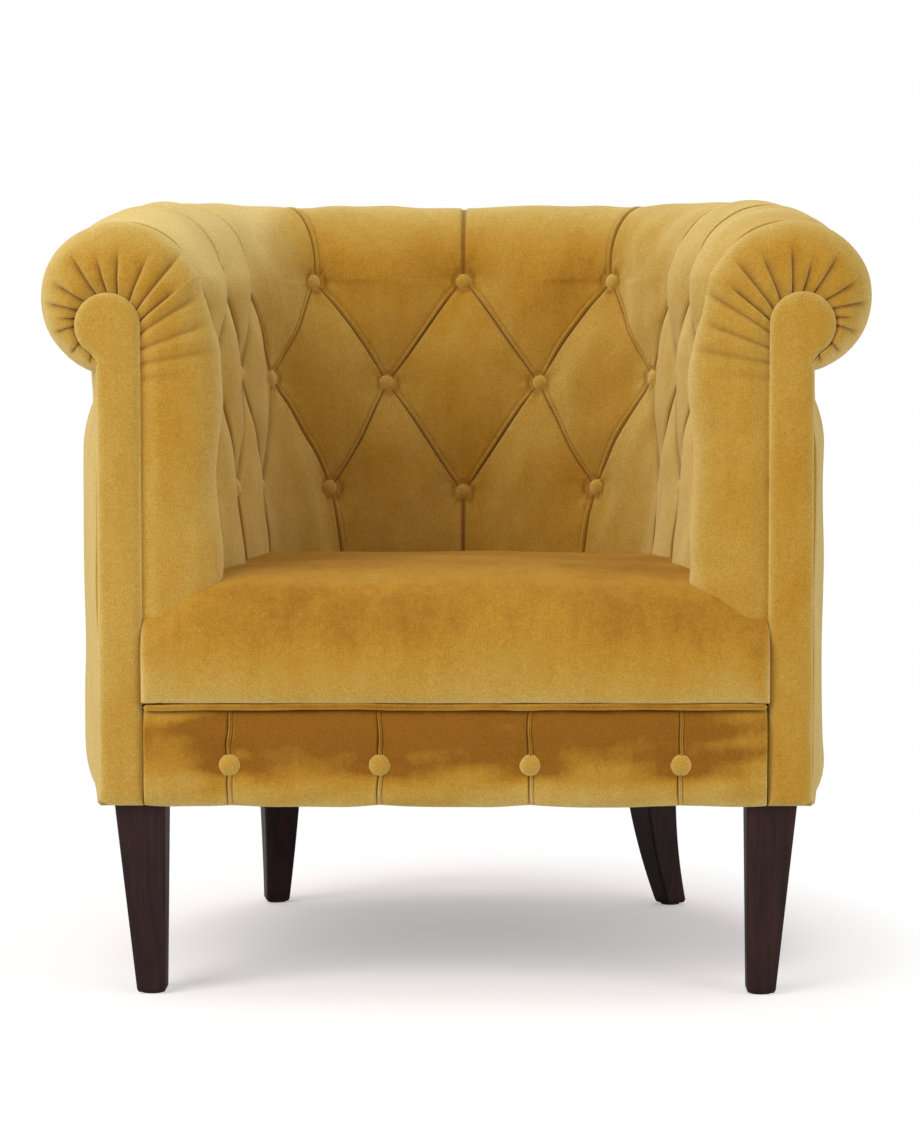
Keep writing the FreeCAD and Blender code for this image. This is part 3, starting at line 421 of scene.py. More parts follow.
def roll_point(run: Array, angle: Array, radius: Array) -> Array:
    """Point round the roll's axis: 180 degrees faces the seat, 90 is the top, 0 faces out.

    Args:
        run: run along the button line.
        angle: angle in radians.
        radius: distance from the axis.

    Returns:
        Points, with x, y and z last.
    """
    spot, out = BUTTON_PLAN.at(run)
    place = spot + out * (Tub.roll_set + radius * np.cos(angle))
    return np.stack([place.real, place.imag, axis_z(run) + radius * np.sin(angle)], axis=-1)


def wall_button_places() -> Tuple[Array, Array]:
    """Where the 26 buttons of the inside sit.

    Returns:
        Centres in millimetres, and the outward directions as unit vectors.
    """
    whole = np.arange(-Tub.columns, Tub.columns + 1.0)
    rows = (whole, whole[:-1] + 0.5, whole)
    centres = []
    outward = []
    for row, columns in enumerate(rows):
        run = column_run(columns)
        z = row_height(row, run)
        centre = wall_point(run, z, np.zeros_like(run))
        further = wall_point(run, z, np.ones_like(run))
        below = wall_point(run, z - 20.0, np.zeros_like(run))
        direction = further - centre
        up = centre - below
        along = np.cross(up, direction)
        direction = np.cross(along, up)
        centres.append(centre)
        outward.append(direction / np.linalg.norm(direction, axis=-1, keepdims=True))
    return np.concatenate(centres), np.concatenate(outward)


def facing_outline(length: Array, inset: float = 0.0) -> Array:
    """Edge of the right facing's head and strip, by length from the top of its inner straight.

    Above zero it goes over the round head and down the hollow neck on the outer side; below
    zero it goes down the inner straight. Past the neck it goes down the outer straight.

    Args:
        length: length along the edge, in millimetres.
        inset: how far inside the edge.

    Returns:
        Points as x + iz.
    """
    radius = Tub.bulb_r - inset
    neck = Tub.neck_r + inset
    head = complex(Tub.facing_x + Tub.bulb_r, Tub.height - Tub.roll_r - Tub.roll_drop - Tub.bulb_drop)
    outer = Tub.facing_x + Tub.facing_w - inset
    side = outer + neck - head.real
    fall = math.sqrt((radius + neck) ** 2 - side ** 2)
    neck_centre = complex(outer + neck, head.imag - fall)
    low = -math.atan2(fall, side)
    head_length = Tub.bulb_r * (math.pi - low)
    neck_turn = -low
    neck_length = Tub.neck_r * neck_turn
    on_head = head + radius * np.exp(1j * (np.pi - length / Tub.bulb_r))
    turned = (length - head_length) / Tub.neck_r
    on_neck = neck_centre + neck * np.exp(1j * (np.pi + low + turned))
    down = outer + 1j * (neck_centre.imag - (length - head_length - neck_length))
    inner = head.real - radius + 1j * (head.imag + length)
    return np.where(length < 0, inner,
                    np.where(length < head_length, on_head,
                             np.where(length < head_length + neck_length, on_neck, down)))


NECK_TURN = math.radians(54.8)
FACING_HEAD_LENGTH = Tub.bulb_r * (math.pi + NECK_TURN)
FACING_NECK_LENGTH = Tub.neck_r * NECK_TURN


# ---------------------------------------------------------------- finishes


def shade(rgb: Tuple[int, int, int]) -> Tuple[float, float, float, float]:
    """Linear colour of an sRGB one: over 12.92 when dark, else the power 2.4.

    Args:
        rgb: red, green and blue from 0 to 255.

    Returns:
        Red, green, blue and an opaque alpha, from 0 to 1.
    """
    parts = [v / 255.0 for v in rgb]
    linear = [p / 12.92 if p <= 0.04045 else ((p + 0.055) / 1.055) ** 2.4 for p in parts]
    return (linear[0], linear[1], linear[2], 1.0)


class NodeTree:
    """A material's nodes, added and joined by name."""

    def __init__(self, name: str) -> None:
        """Makes an empty node material.

        Args:
            name: its name.
        """
        self.material = bpy.data.materials.new(name)
        self.material.use_nodes = True
        self.tree = self.material.node_tree
        self.tree.nodes.clear()

    def add(self, kind: str, **inputs: object) -> bpy.types.Node:
        """Adds a node.

        Args:
            kind: the node's type without its ShaderNode prefix.
            **inputs: values or output sockets by input name, with _ for a space; a name that is
                a property of the node sets that instead.

        Returns:
            The node.
        """
        node = self.tree.nodes.new("ShaderNode" + kind)
        for key, value in inputs.items():
            if hasattr(node, key):
                setattr(node, key, value)
        for key, value in inputs.items():
            if hasattr(node, key):
                continue
            place = int(key[1:]) if key[1:].isdigit() else key.replace("_", " ")
            socket = node.inputs[place]
            if isinstance(value, bpy.types.NodeSocket):
                self.tree.links.new(value, socket)
            else:
                socket.default_value = value
        return node

    def ramp(self, fac: bpy.types.NodeSocket,
             stops: Sequence[Tuple[float, Tuple[float, ...]]]) -> bpy.types.NodeSocket:
        """Adds a colour ramp.

        Args:
            fac: what goes along the ramp.
            stops: pairs of position and colour.

        Returns:
            The colour.
        """
        node = self.add("ValToRGB", Fac=fac)
        elements = node.color_ramp.elements
        while len(elements) < len(stops):
            elements.new(0.5)
        for element, (position, colour) in zip(elements, stops):
            element.position = position
            element.color = colour
        return node.outputs["Color"]

    def mix(self, fac: object, a: object, b: object, blend: str = "MIX") -> bpy.types.NodeSocket:
        """Adds a mix of two colours.

        Args:
            fac: how much of the second colour.
            a: the first colour.
            b: the second colour.
            blend: the way they mix.

        Returns:
            The mixed colour.
        """
        node = self.tree.nodes.new("ShaderNodeMix")
        node.data_type = "RGBA"
        node.blend_type = blend
        for socket, value in ((node.inputs[0], fac), (node.inputs[6], a), (node.inputs[7], b)):
            if isinstance(value, bpy.types.NodeSocket):
                self.tree.links.new(value, socket)
            else:
                socket.default_value = value
        return node.outputs[2]

    def maths(self, operation: str, a: object, b: object = 0.0) -> bpy.types.NodeSocket:
        """Result of a math node."""
        return self.add("Math", operation=operation, _0=a, _1=b).outputs[0]

    def finish(self, shader: bpy.types.Node) -> bpy.types.Material:
        """Joins the shader to the output.

        Args:
            shader: the last node.

        Returns:
            The material.
        """
        output = self.tree.nodes.new("ShaderNodeOutputMaterial")
        self.tree.links.new(shader.outputs[0], output.inputs["Surface"])
        return self.material


@dataclass(frozen=True)
class Velvet:
    """Short-piled upholstery velvet with a painted sheen: its colour is painted deeper where it is seen
    straight on and paler at its edges.
    """

    name: str = "mustard_velvet"
    deep: Tuple[int, int, int] = (142, 92, 18)
    rich: Tuple[int, int, int] = (181, 134, 42)
    body: Tuple[int, int, int] = (194, 158, 76)
    pale: Tuple[int, int, int] = (229, 202, 130)
    # Dark brown of the painted shade in pleats, round buttons and in folds.
    painted_crease_shade: Tuple[int, int, int] = (112, 62, 12)
    sheen: float = 0.06
    roughness: float = 0.85
    nap_scale: float = 5.5
    pile_scale: float = 620.0
    painted_sheen_weight: float = 0.70
    painted_sheen_shift: float = 0.22
    speck_mix: float = 0.7
    crease_shade_mix: float = 0.8
    specular: float = 0.2

    def build(self) -> bpy.types.Material:
        """Builds the material.

        The colour goes from deep to pale by the sum of the angle of view, which is a painted sheen,
        the way the nap lies on the piece with painted light and shade laid into it, slow brushed
        patches and fine streaks down the pile, and it is darkened in pleats with painted shade; the
        bump is fine pile over faint pressure marks.

        Returns:
            The material.
        """
        t = NodeTree(self.name)
        place = t.add("TexCoord").outputs["Object"]
        stretched = t.add("Mapping", Vector=place, Scale=(1.0, 1.0, 0.55)).outputs[0]
        nap = t.add("TexNoise", Vector=stretched, Scale=self.nap_scale, Detail=3.0, Roughness=0.55,
                    Distortion=0.8).outputs["Fac"]
        brushed = t.add("TexNoise", Vector=stretched, Scale=self.nap_scale * 5, Detail=4.0,
                        Roughness=0.6, Distortion=0.4).outputs["Fac"]
        pile = t.add("TexNoise", Vector=place, Scale=self.pile_scale, Detail=2.0).outputs["Fac"]
        drawn = t.add("Mapping", Vector=place, Scale=(75.0, 75.0, 14.0)).outputs[0]
        streak = t.add("TexNoise", Vector=drawn, Scale=1.0, Detail=3.0, Roughness=0.6).outputs["Fac"]
        # Painted sheen: the angle of view moves the base colour from deep, straight on, to pale at the edges.
        facing = t.add("LayerWeight", Blend=0.5).outputs["Facing"]
        # The nap's direction per vertex, which also carries painted light and shade.
        pile_with_painted_light = t.add("Attribute", attribute_name="nap").outputs["Fac"]
        mottle = t.add("TexNoise", Vector=place, Scale=130.0, Detail=4.0, Roughness=0.65).outputs["Fac"]
        painted_sheen_and_tone = self.weighed(t, facing, self.painted_sheen_weight, self.painted_sheen_shift)
        for part, weight, middle in ((pile_with_painted_light, 0.30, 0.0), (nap, 0.32, 0.5), (brushed, 0.20, 0.5),
                                     (streak, 0.12, 0.5), (mottle, 0.17, 0.5)):
            painted_sheen_and_tone = t.maths("ADD", painted_sheen_and_tone, self.weighed(t, part, weight, -weight * middle))
        colour = t.ramp(painted_sheen_and_tone, [(0.0, shade(self.deep)), (0.24, shade(self.rich)),
                               (0.48, shade(self.body)), (0.95, shade(self.pale))])
        speck = t.ramp(pile, [(0.32, (0.74, 0.71, 0.64, 1.0)), (0.68, (1.14, 1.13, 1.11, 1.0))])
        colour = t.mix(self.speck_mix, colour, speck, "MULTIPLY")
        # Painted shade: pleats, rings round buttons, gaps between the arms' puffs and gathered folds are
        # darkened towards a dark brown.
        pleat = t.add("Attribute", attribute_name="painted_crease_shade").outputs["Fac"]
        colour = t.mix(t.maths("MULTIPLY", pleat, self.crease_shade_mix), colour, shade(self.painted_crease_shade))
        marks = t.add("TexNoise", Vector=stretched, Scale=38.0, Detail=3.0).outputs["Fac"]
        soft = t.add("Bump", Strength=0.10, Distance=0.004, Height=marks).outputs[0]
        grain = t.add("Bump", Strength=0.25, Distance=0.0006, Height=pile, Normal=soft).outputs[0]
        shader = t.add("BsdfPrincipled", Base_Color=colour, Roughness=self.roughness, Normal=grain)
        shader.inputs["Sheen Weight"].default_value = self.sheen
        shader.inputs["Sheen Roughness"].default_value = 0.35
        shader.inputs["Sheen Tint"].default_value = shade((255, 232, 178))
        shader.inputs["Specular IOR Level"].default_value = self.specular
        return t.finish(shader)

    def weighed(self, t: NodeTree, value: bpy.types.NodeSocket, weight: float,
                shift: float) -> bpy.types.NodeSocket:
        """A value times a weight plus a shift.

        Args:
            t: the nodes it is added to.
            value: the value.
            weight: what it is multiplied by.
            shift: what is added.

        Returns:
            The sum.
        """
        socket = t.maths("MULTIPLY_ADD", value, weight)
        socket.node.inputs[2].default_value = shift
        return socket


@dataclass(frozen=True)
class DarkWood:
    """Dark stained hardwood with fine long grain under a thin satin lacquer."""

    name: str = "dark_stained_wood"
    dark: Tuple[int, int, int] = (26, 9, 8)
    body: Tuple[int, int, int] = (43, 19, 17)
    light: Tuple[int, int, int] = (60, 31, 27)
    roughness: float = 0.46
    specular: float = 0.25
    coat: float = 0.04

    def build(self) -> bpy.types.Material:
        """Builds the material: grain is noise drawn out along z, with darker pores.

        Returns:
            The material.
        """
        t = NodeTree(self.name)
        place = t.add("TexCoord").outputs["Object"]
        long = t.add("Mapping", Vector=place, Scale=(150.0, 150.0, 7.0)).outputs[0]
        grain = t.add("TexNoise", Vector=long, Scale=1.0, Detail=5.0, Roughness=0.62,
                      Distortion=0.3).outputs["Fac"]
        fine = t.add("Mapping", Vector=place, Scale=(900.0, 900.0, 30.0)).outputs[0]
        pores = t.add("TexNoise", Vector=fine, Scale=1.0, Detail=2.0).outputs["Fac"]
        colour = t.ramp(grain, [(0.30, shade(self.dark)), (0.52, shade(self.body)),
                                (0.78, shade(self.light))])
        pitted = t.ramp(pores, [(0.36, (0.55, 0.55, 0.55, 1.0)), (0.46, (1.0, 1.0, 1.0, 1.0))])
        colour = t.mix(0.6, colour, pitted, "MULTIPLY")
        rough = t.add("MapRange", Value=grain, _3=self.roughness - 0.05, _4=self.roughness + 0.14).outputs[0]
        height = t.maths("ADD", t.maths("MULTIPLY", grain, 0.6), pores)
        bump = t.add("Bump", Strength=0.18, Distance=0.0004, Height=height).outputs[0]
        shader = t.add("BsdfPrincipled", Base_Color=colour, Roughness=rough, Normal=bump)
        shader.inputs["Specular IOR Level"].default_value = self.specular
        shader.inputs["Coat Weight"].default_value = self.coat
        shader.inputs["Coat Roughness"].default_value = 0.30
        return t.finish(shader)


@dataclass(frozen=True)
class PaleWood:
    """Bare beech of the hidden frame."""

    name: str = "bare_beech"
    dark: Tuple[int, int, int] = (168, 128, 88)
    light: Tuple[int, int, int] = (206, 170, 126)

    def build(self) -> bpy.types.Material:
        """Builds the material: soft noise grain drawn out along the chair's width.

        Returns:
            The material.
        """
        t = NodeTree(self.name)
        place = t.add("TexCoord").outputs["Object"]
        long = t.add("Mapping", Vector=place, Scale=(6.0, 60.0, 60.0)).outputs[0]
        grain = t.add("TexNoise", Vector=long, Scale=1.0, Detail=4.0).outputs["Fac"]
        colour = t.ramp(grain, [(0.35, shade(self.dark)), (0.65, shade(self.light))])
        bump = t.add("Bump", Strength=0.1, Distance=0.0005, Height=grain).outputs[0]
        return t.finish(t.add("BsdfPrincipled", Base_Color=colour, Roughness=0.6, Normal=bump))


@dataclass(frozen=True)
class Steel:
    """Oiled spring steel, browned a little."""

    name: str = "spring_steel"
    dark: Tuple[int, int, int] = (96, 92, 88)
    light: Tuple[int, int, int] = (150, 147, 142)

    def build(self) -> bpy.types.Material:
        """Builds the material: metal whose colour and roughness follow a blotchy noise.

        Returns:
            The material.
        """
        t = NodeTree(self.name)
        place = t.add("TexCoord").outputs["Object"]
        blotch = t.add("TexNoise", Vector=place, Scale=40.0, Detail=4.0).outputs["Fac"]
        colour = t.ramp(blotch, [(0.3, shade(self.dark)), (0.7, shade(self.light))])
        rough = t.add("MapRange", Value=blotch, _3=0.28, _4=0.48).outputs[0]
        return t.finish(t.add("BsdfPrincipled", Base_Color=colour, Roughness=rough, Metallic=1.0))


@dataclass(frozen=True)
class Woven:
    """Plain-woven cloth, webbing or twine, by its colours and its threads per metre."""

    name: str
    dark: Tuple[int, int, int]
    light: Tuple[int, int, int]
    threads: float = 900.0

    def build(self) -> bpy.types.Material:
        """Builds the material: two crossed bands make the weave, in colour and in height.

        Returns:
            The material.
        """
        t = NodeTree(self.name)
        place = t.add("TexCoord").outputs["Object"]
        warp = t.add("TexWave", Vector=place, Scale=self.threads / 6.0, bands_direction="X",
                     Distortion=0.4).outputs["Fac"]
        weft = t.add("TexWave", Vector=place, Scale=self.threads / 6.0, bands_direction="Y",
                     Distortion=0.4).outputs["Fac"]
        weave = t.maths("MULTIPLY", warp, weft)
        colour = t.ramp(weave, [(0.1, shade(self.dark)), (0.8, shade(self.light))])
        bump = t.add("Bump", Strength=0.3, Distance=0.0005, Height=weave).outputs[0]
        return t.finish(t.add("BsdfPrincipled", Base_Color=colour, Roughness=0.85, Normal=bump))


@dataclass(frozen=True)
class Moulded:
    """Moulded nylon of the glides."""

    name: str = "moulded_nylon"
    colour: Tuple[int, int, int] = (60, 56, 54)

    def build(self) -> bpy.types.Material:
        """Builds the material: a fine matt grain.

        Returns:
            The material.
        """
        t = NodeTree(self.name)
        place = t.add("TexCoord").outputs["Object"]
        grain = t.add("TexNoise", Vector=place, Scale=700.0, Detail=2.0).outputs["Fac"]
        low = tuple(int(v * 0.8) for v in self.colour)
        colour = t.ramp(grain, [(0.3, shade(low)), (0.7, shade(self.colour))])
        bump = t.add("Bump", Strength=0.15, Distance=0.0003, Height=grain).outputs[0]
        return t.finish(t.add("BsdfPrincipled", Base_Color=colour, Roughness=0.5, Normal=bump))


# ---------------------------------------------------------------- inside cover


@dataclass
class InsideCover:
    """The one padded, deep-buttoned cover of arms, back and roll, with its gathered fronts.

    Rows of vertices run from the roll's hidden outer edge (first), over the roll, down the wall
    to under the seat (last). Columns run from the left arm's front to the right arm's front.
    """

    velvet: bpy.types.Material
    cells: int = 26
    roll_rows: int = 120
    low_rows: int = 24
    front_columns: int = 12
    turn_columns: int = 44
    pleat_height: float = 0.46
    puff_power: float = 2.4
    die_out: float = 0.35
    wall_pitch: float = 135.0
    roll_pitch: float = 155.0
    row_down: float = 124.0
    roll_down: float = 250.0
    arm_relief: float = 0.22
    arm_slim: float = 7.5
    arm_slim_run: float = 210.0
    arm_slim_z: float = 735.0
    arm_slim_reach: float = 120.0
    arm_shadow: float = 0.6
    shadow_w: float = 9.0
    front_bulge: float = 9.0
    bulge_z: float = 645.0
    bulge_reach: float = 62.0
    front_slim: float = 8.0
    slim_z: float = 540.0
    slim_reach: float = 130.0
    settle_angle: float = math.radians(36.0)
    roll_pleat: float = 3.5
    pull_reach: float = 32.0
    groove: float = 3.4
    fold: float = 2.0
    last_angle: float = math.radians(-96.0)
    low_z: float = 376.0
    turn_y: float = 46.0
    front_y: float = 1.0
    rim_y: float = 9.0
    gather_depth: float = 4.4
    gather_marks: Tuple[float, ...] = (-57.0, -41.0, -26.0, -10.0, 3.0, 15.0, 27.0, 41.0, 52.0, 63.0, 77.0,
                                       88.0, 97.0, 105.0, 123.0, 140.0)
    gather_reach: Tuple[float, ...] = (0.7, 1.05, 1.15, 1.1, 0.8, 1.0, 0.8, 0.75, 0.6, 0.8, 0.75, 0.9,
                                       0.6, 0.9, 0.85, 0.6)
    gather_crowd: float = 7.0
    core_set: float = 34.0
    core_r: float = 38.0
    core_turns: Tuple[float, ...] = (170.0, 130.0, 90.0, 50.0, 10.0, -30.0, -70.0)
    core_front_r: float = 12.0
    core_front_set: float = 6.0
    ripples: Ripple = field(default_factory=lambda: Ripple(11, 26, 45.0, 190.0, 0.7))

    def warp(self, x: Array) -> Array:
        """Moves coordinates towards whole numbers, so that vertices crowd at the pleats.

        Half the sign of the distance times (twice the distance) to the 1.5.

        Args:
            x: pleat coordinates.

        Returns:
            The moved coordinates.
        """
        whole = np.round(x)
        apart = x - whole
        return whole + np.sign(apart) * 0.5 * (2.0 * np.abs(apart)) ** 1.5

    def lattice(self) -> Tuple[Array, Array, Array]:
        """Column coordinate, row coordinate and roll share between the arms' last columns.

        Between the first and third rows both pleat families are the grid's own diagonals.

        Returns:
            Arrays of rows by columns: the column, the row (0 to 2 on the buttoned wall, above 2
            below it) and the roll share (1 at the hidden outer edge, 0 from the top row down).
        """
        n = self.cells
        column = np.arange(-2 * n * Tub.columns, 2 * n * Tub.columns + 1) / (2.0 * n)
        row = np.arange(0, 2 * n + 1) / n
        p = self.warp(column[None, :] + row[:, None] / 2.0)
        q = self.warp(column[None, :] - row[:, None] / 2.0)
        wall_column = (p + q) / 2.0
        wall_row = p - q
        straight = self.warp(column)[None, :]
        up = self.roll_shares()[:, None]
        down = 2.0 + np.linspace(0.0, 1.0, self.low_rows + 1)[1:, None]
        ones = np.ones_like(straight)
        columns = np.concatenate([straight * np.ones_like(up), wall_column,
                                  straight * np.ones_like(down)])
        rows = np.concatenate([0.0 * up * ones, wall_row, down * ones])
        shares = np.concatenate([up * ones, 0.0 * wall_row, 0.0 * down * ones])
        return columns, rows, shares

    def roll_shares(self) -> Array:
        """Roll shares of the rows, crowded where the gathers of the arms' fronts are.

        Returns:
            The shares, from 1 down.
        """
        run = np.full(4001, run_at(self.turn_y))
        share = np.linspace(0.0, 1.0, run.size)
        angle = self.roll_angles(run, share, Tub.crown)[0]
        length = self.rim_lengths(angle, 0.0 * share, np.ones_like(share, dtype=bool))
        close = np.exp(-((length[:, None] - np.array(self.gather_marks)) / 2.5) ** 2).sum(axis=1)
        count = np.cumsum(1.0 + self.gather_crowd * close)
        even = np.linspace(count[0], count[-1], self.roll_rows + 1)[:0:-1]
        return np.interp(even, count, share)

    def heights(self, run: Array, row: Array) -> Array:
        """Height of the wall at a row coordinate, even between the rows and down to the seat.

        Args:
            run: run along the button line.
            row: row coordinate from 0 to 3.

        Returns:
            Heights in millimetres.
        """
        first, second, third = (row_height(k, run) for k in range(3))
        upper = first + (second - first) * np.clip(row, 0.0, 1.0)
        lower = second + (third - second) * np.clip(row - 1.0, 0.0, 1.0)
        below = third + (self.low_z - third) * np.clip(row - 2.0, 0.0, 1.0)
        return np.where(row <= 1.0, upper, np.where(row <= 2.0, lower, below))

    def roll_angles(self, run: Array, share: Array, set_in: float) -> Tuple[Array, Array]:
        """Angle round the roll and the radius that meets the wall at the top row.

        Args:
            run: run along the button line.
            share: roll share, 0 at the top row.
            set_in: how far inside the button line the wall is there.

        Returns:
            Angle in radians, and that radius.
        """
        across = Tub.roll_set + set_in
        fall = axis_z(run) - row_height(0, run)
        first = np.pi + np.arctan2(fall, across)
        return first + (self.last_angle - first) * share, np.hypot(across, fall)

    def sunken(self, run: Array, row: Array, share: Array) -> Array:
        """Points of the surface that the buttons pull the cover down to.

        The leaning wall below the top row. On the roll the radius falls from the wall's to a
        little under the roll's own as exp of minus the roll share over 0.15.

        Args:
            run: run along the button line.
            row: row coordinate.
            share: roll share.

        Returns:
            Points in millimetres.
        """
        wall = wall_point(run, self.heights(run, row), np.zeros_like(run))
        angle, radius = self.roll_angles(run, share, 0.0)
        pleated_r = Tub.roll_r - self.roll_pleat
        settled = pleated_r + (radius - pleated_r) * np.exp(-share / 0.15)
        return np.where((share > 0)[..., None], roll_point(run, angle, settled), wall)

    def crowned(self, run: Array, row: Array, share: Array) -> Array:
        """Points of the surface through the tops of the puffs.

        The wall is slimmer along the arms. In front of the last column it is fuller under the
        roll and slimmer at the seat. On the roll the radius falls from the wall's to the roll's
        own as exp of the angle turned, which is negative, over the settling angle.

        Args:
            run: run along the button line.
            row: row coordinate.
            share: roll share.

        Returns:
            Points in millimetres.
        """
        z = self.heights(run, row)
        bulge = self.front_bulge * np.exp(-((z - self.bulge_z) / self.bulge_reach) ** 2)
        bulge = bulge - self.front_slim * smooth((self.slim_z - z) / self.slim_reach)
        front = smooth((np.abs(run) - ARM_FRONT_RUN) / Tub.front_gap)
        on_arm = smooth((np.abs(run) - self.arm_slim_run) / self.arm_slim_reach)
        slim = self.arm_slim * on_arm * smooth((self.arm_slim_z - z) / self.arm_slim_reach)
        wall = wall_point(run, z, slim * (1.0 - front) - Tub.crown - bulge * front)
        angle, radius = self.roll_angles(run, share, Tub.crown)
        turned = (angle - self.roll_angles(run, 0.0 * share, Tub.crown)[0]) / self.settle_angle
        fuller = Tub.roll_r + (radius - Tub.roll_r) * np.exp(turned)
        return np.where((share > 0)[..., None], roll_point(run, angle, fuller), wall)

    def pleat_gaps(self, column: Array, row: Array) -> Tuple[Array, Array, Array, Array]:
        """Signed distance to the nearest line of each pleat family, and the line's strength.

        The families are whole numbers of column plus and less half the row. Two lines that
        would leave the last column towards the arm's front die out away from their button.

        Args:
            column: column coordinate.
            row: row coordinate.

        Returns:
            Distances and strengths of the first family, then of the second.
        """
        far = np.abs(column)
        past = np.minimum(0.5, (far - Tub.columns) * 1.7)
        far = np.where(far > Tub.columns, Tub.columns + past, far)
        half = np.clip(row, 0.0, 2.0) / 2.0
        p = far + half
        q = far - half
        out_q = (np.round(q) >= Tub.columns) & (row > 0)
        out_p = (np.round(p) >= Tub.columns + 1) & (row < 2)
        strong_q = np.where(out_q, np.exp(-(row / self.die_out) ** 2), 1.0)
        strong_p = np.where(out_p, np.exp(-((2.0 - row) / self.die_out) ** 2), 1.0)
        return p - np.round(p), strong_p, q - np.round(q), strong_q

    def button_field(self, spots: Array) -> Tuple[Array, Array, Array]:
        """Distance to the nearest button, the angle round it, and its number.

        Args:
            spots: points of the sunken surface.

        Returns:
            Distance in millimetres, angle in radians, number.
        """
        centres, outward = wall_button_places()
        nearest = np.full(spots.shape[:-1], np.inf)
        turn = np.zeros_like(nearest)
        number = np.zeros_like(nearest)
        for k, (centre, out) in enumerate(zip(centres, outward)):
            apart = spots - centre
            distance = np.linalg.norm(apart, axis=-1)
            along = np.cross(np.array([0.0, 0.0, 1.0]), out)
            angle = np.arctan2(apart[..., 2], apart @ along)
            closer = distance < nearest
            nearest = np.where(closer, distance, nearest)
            turn = np.where(closer, angle, turn)
            number = np.where(closer, float(k), number)
        return nearest, turn, number

    def surface(self, column: Array, row: Array, share: Array) -> Tuple[Array, Array]:
        """Points of the puffed surface, and the painted shade at each: in the pleats, round each button and
        between the arms' puffs.

        Between the sunken and the crowned surface the cover stands at H of the way, with
        H = (k + (1 - k) T(p) T(q)) (1 - exp(-(d / reach) ^ 1.5)), T(x) = 1 - (1 - 2x) ^ 2.4,
        d the distance to the nearest button and k the height of a pleat, which is less on the
        arms. Along a pleat the cloth above overlaps the cloth below, and only one family of
        pleats goes on over the roll and below the lowest row.

        Args:
            column: column coordinate.
            row: row coordinate.
            share: roll share.

        Returns:
            Points in millimetres, and the painted shade from 0 to 1.
        """
        run = column_run(column)
        low = self.sunken(run, row, share)
        high = self.crowned(run, row, share)
        gap_p, strong_p, gap_q, strong_q = self.pleat_gaps(column, row)
        puff_p = 1.0 - strong_p * (1.0 - 2.0 * np.abs(gap_p)) ** self.puff_power
        puff_q = 1.0 - strong_q * (1.0 - 2.0 * np.abs(gap_q)) ** self.puff_power
        distance, turn, number = self.button_field(low)
        pull = 1.0 - np.exp(-(distance / self.pull_reach) ** 1.5)
        arm = smooth((np.abs(column) - 1.2) / 0.8)
        kept = self.pleat_height - self.arm_relief * arm
        height = (kept + (1.0 - kept) * puff_p * puff_q) * pull
        thickness = np.linalg.norm(high - low, axis=-1)
        direction = (high - low) / np.maximum(thickness, 1e-6)[..., None]
        pitch = np.where(share > 0, self.roll_pitch, self.wall_pitch)
        fade = 1.0 - 0.45 * smooth(share * 1.6)
        fold_p, near_p = self.folded(-gap_p * pitch)
        fold_q, near_q = self.folded(gap_q * pitch)
        strong_q = np.where((row > 0) & (row < 2), strong_q, 0.0)
        folds = fold_p * strong_p + fold_q * strong_q
        # Painted shade in the grooves of the pleats.
        near = np.maximum(near_p * strong_p, near_q * strong_q)
        wide = np.maximum(np.exp(-(gap_p * pitch / self.shadow_w) ** 2) * strong_p,
                          np.exp(-(gap_q * pitch / self.shadow_w) ** 2) * strong_q)
        # Painted shade: a dark ring round each button.
        near = np.maximum(near * fade, 0.75 * np.exp(-((distance - 12.5) / 2.0) ** 2))
        # Painted shade between the arms' puffs.
        near = np.maximum(near, self.arm_shadow * arm * wide * (share <= 0))
        wrinkle = 0.7 * np.cos(7.0 * turn + 2.1 * number) * np.exp(-((distance - 19.0) / 9.0) ** 2)
        down = (1.0 - share) * self.roll_down + row * self.row_down
        offset = height * thickness + folds * fade * pull + wrinkle + self.ripples(run, down) * pull
        return low + direction * offset[..., None], np.clip(near, 0.0, 1.0)

    def folded(self, above: Array) -> Tuple[Array, Array]:
        """Section of a pleat: a narrow groove, a rolled edge above it, a slighter groove above.

        All three are bell curves of the distance above the line.

        Args:
            above: signed distance above the line, in millimetres.

        Returns:
            Height in millimetres, and painted shade from 0 to 1.
        """
        valley = np.exp(-((above + 0.4) / 1.2) ** 2)
        edge = np.exp(-((above - 2.4) / 1.5) ** 2)
        behind = np.exp(-((above - 5.0) / 1.3) ** 2)
        return (self.fold * edge - self.groove * valley - 0.45 * self.groove * behind,
                valley + 0.45 * behind)

    def rim_lengths(self, angle: Array, z: Array, on_roll: Array) -> Array:
        """Where each row meets the facing's edge, by length along it.

        Args:
            angle: angle round the roll of each row.
            z: height of each row on the wall.
            on_roll: whether the row is on the roll.

        Returns:
            Lengths along the facing's edge from the top of its inner straight.
        """
        roll_knots = np.radians([-96.0, -85.0, -72.0, -55.0, -28.0, 0.0,
                                 29.0, 60.0, 93.0, 127.0, 151.0, 164.5])
        roll_lengths = [159.0, 150.5, 138.0, 123.6, 103.8, 86.9, 72.0, 59.0, 43.0, 27.0, 13.5, 3.0]
        wall_knots = [370.0, 430.0, 500.0, 600.0, 630.0, 663.0, 694.0, 722.0, 742.0]
        wall_lengths = [-319.0, -259.0, -189.0, -90.0, -62.0, -40.0, -24.0, -9.0, 3.0]
        return np.where(on_roll, np.interp(angle, roll_knots, roll_lengths),
                        np.interp(z, wall_knots, wall_lengths))

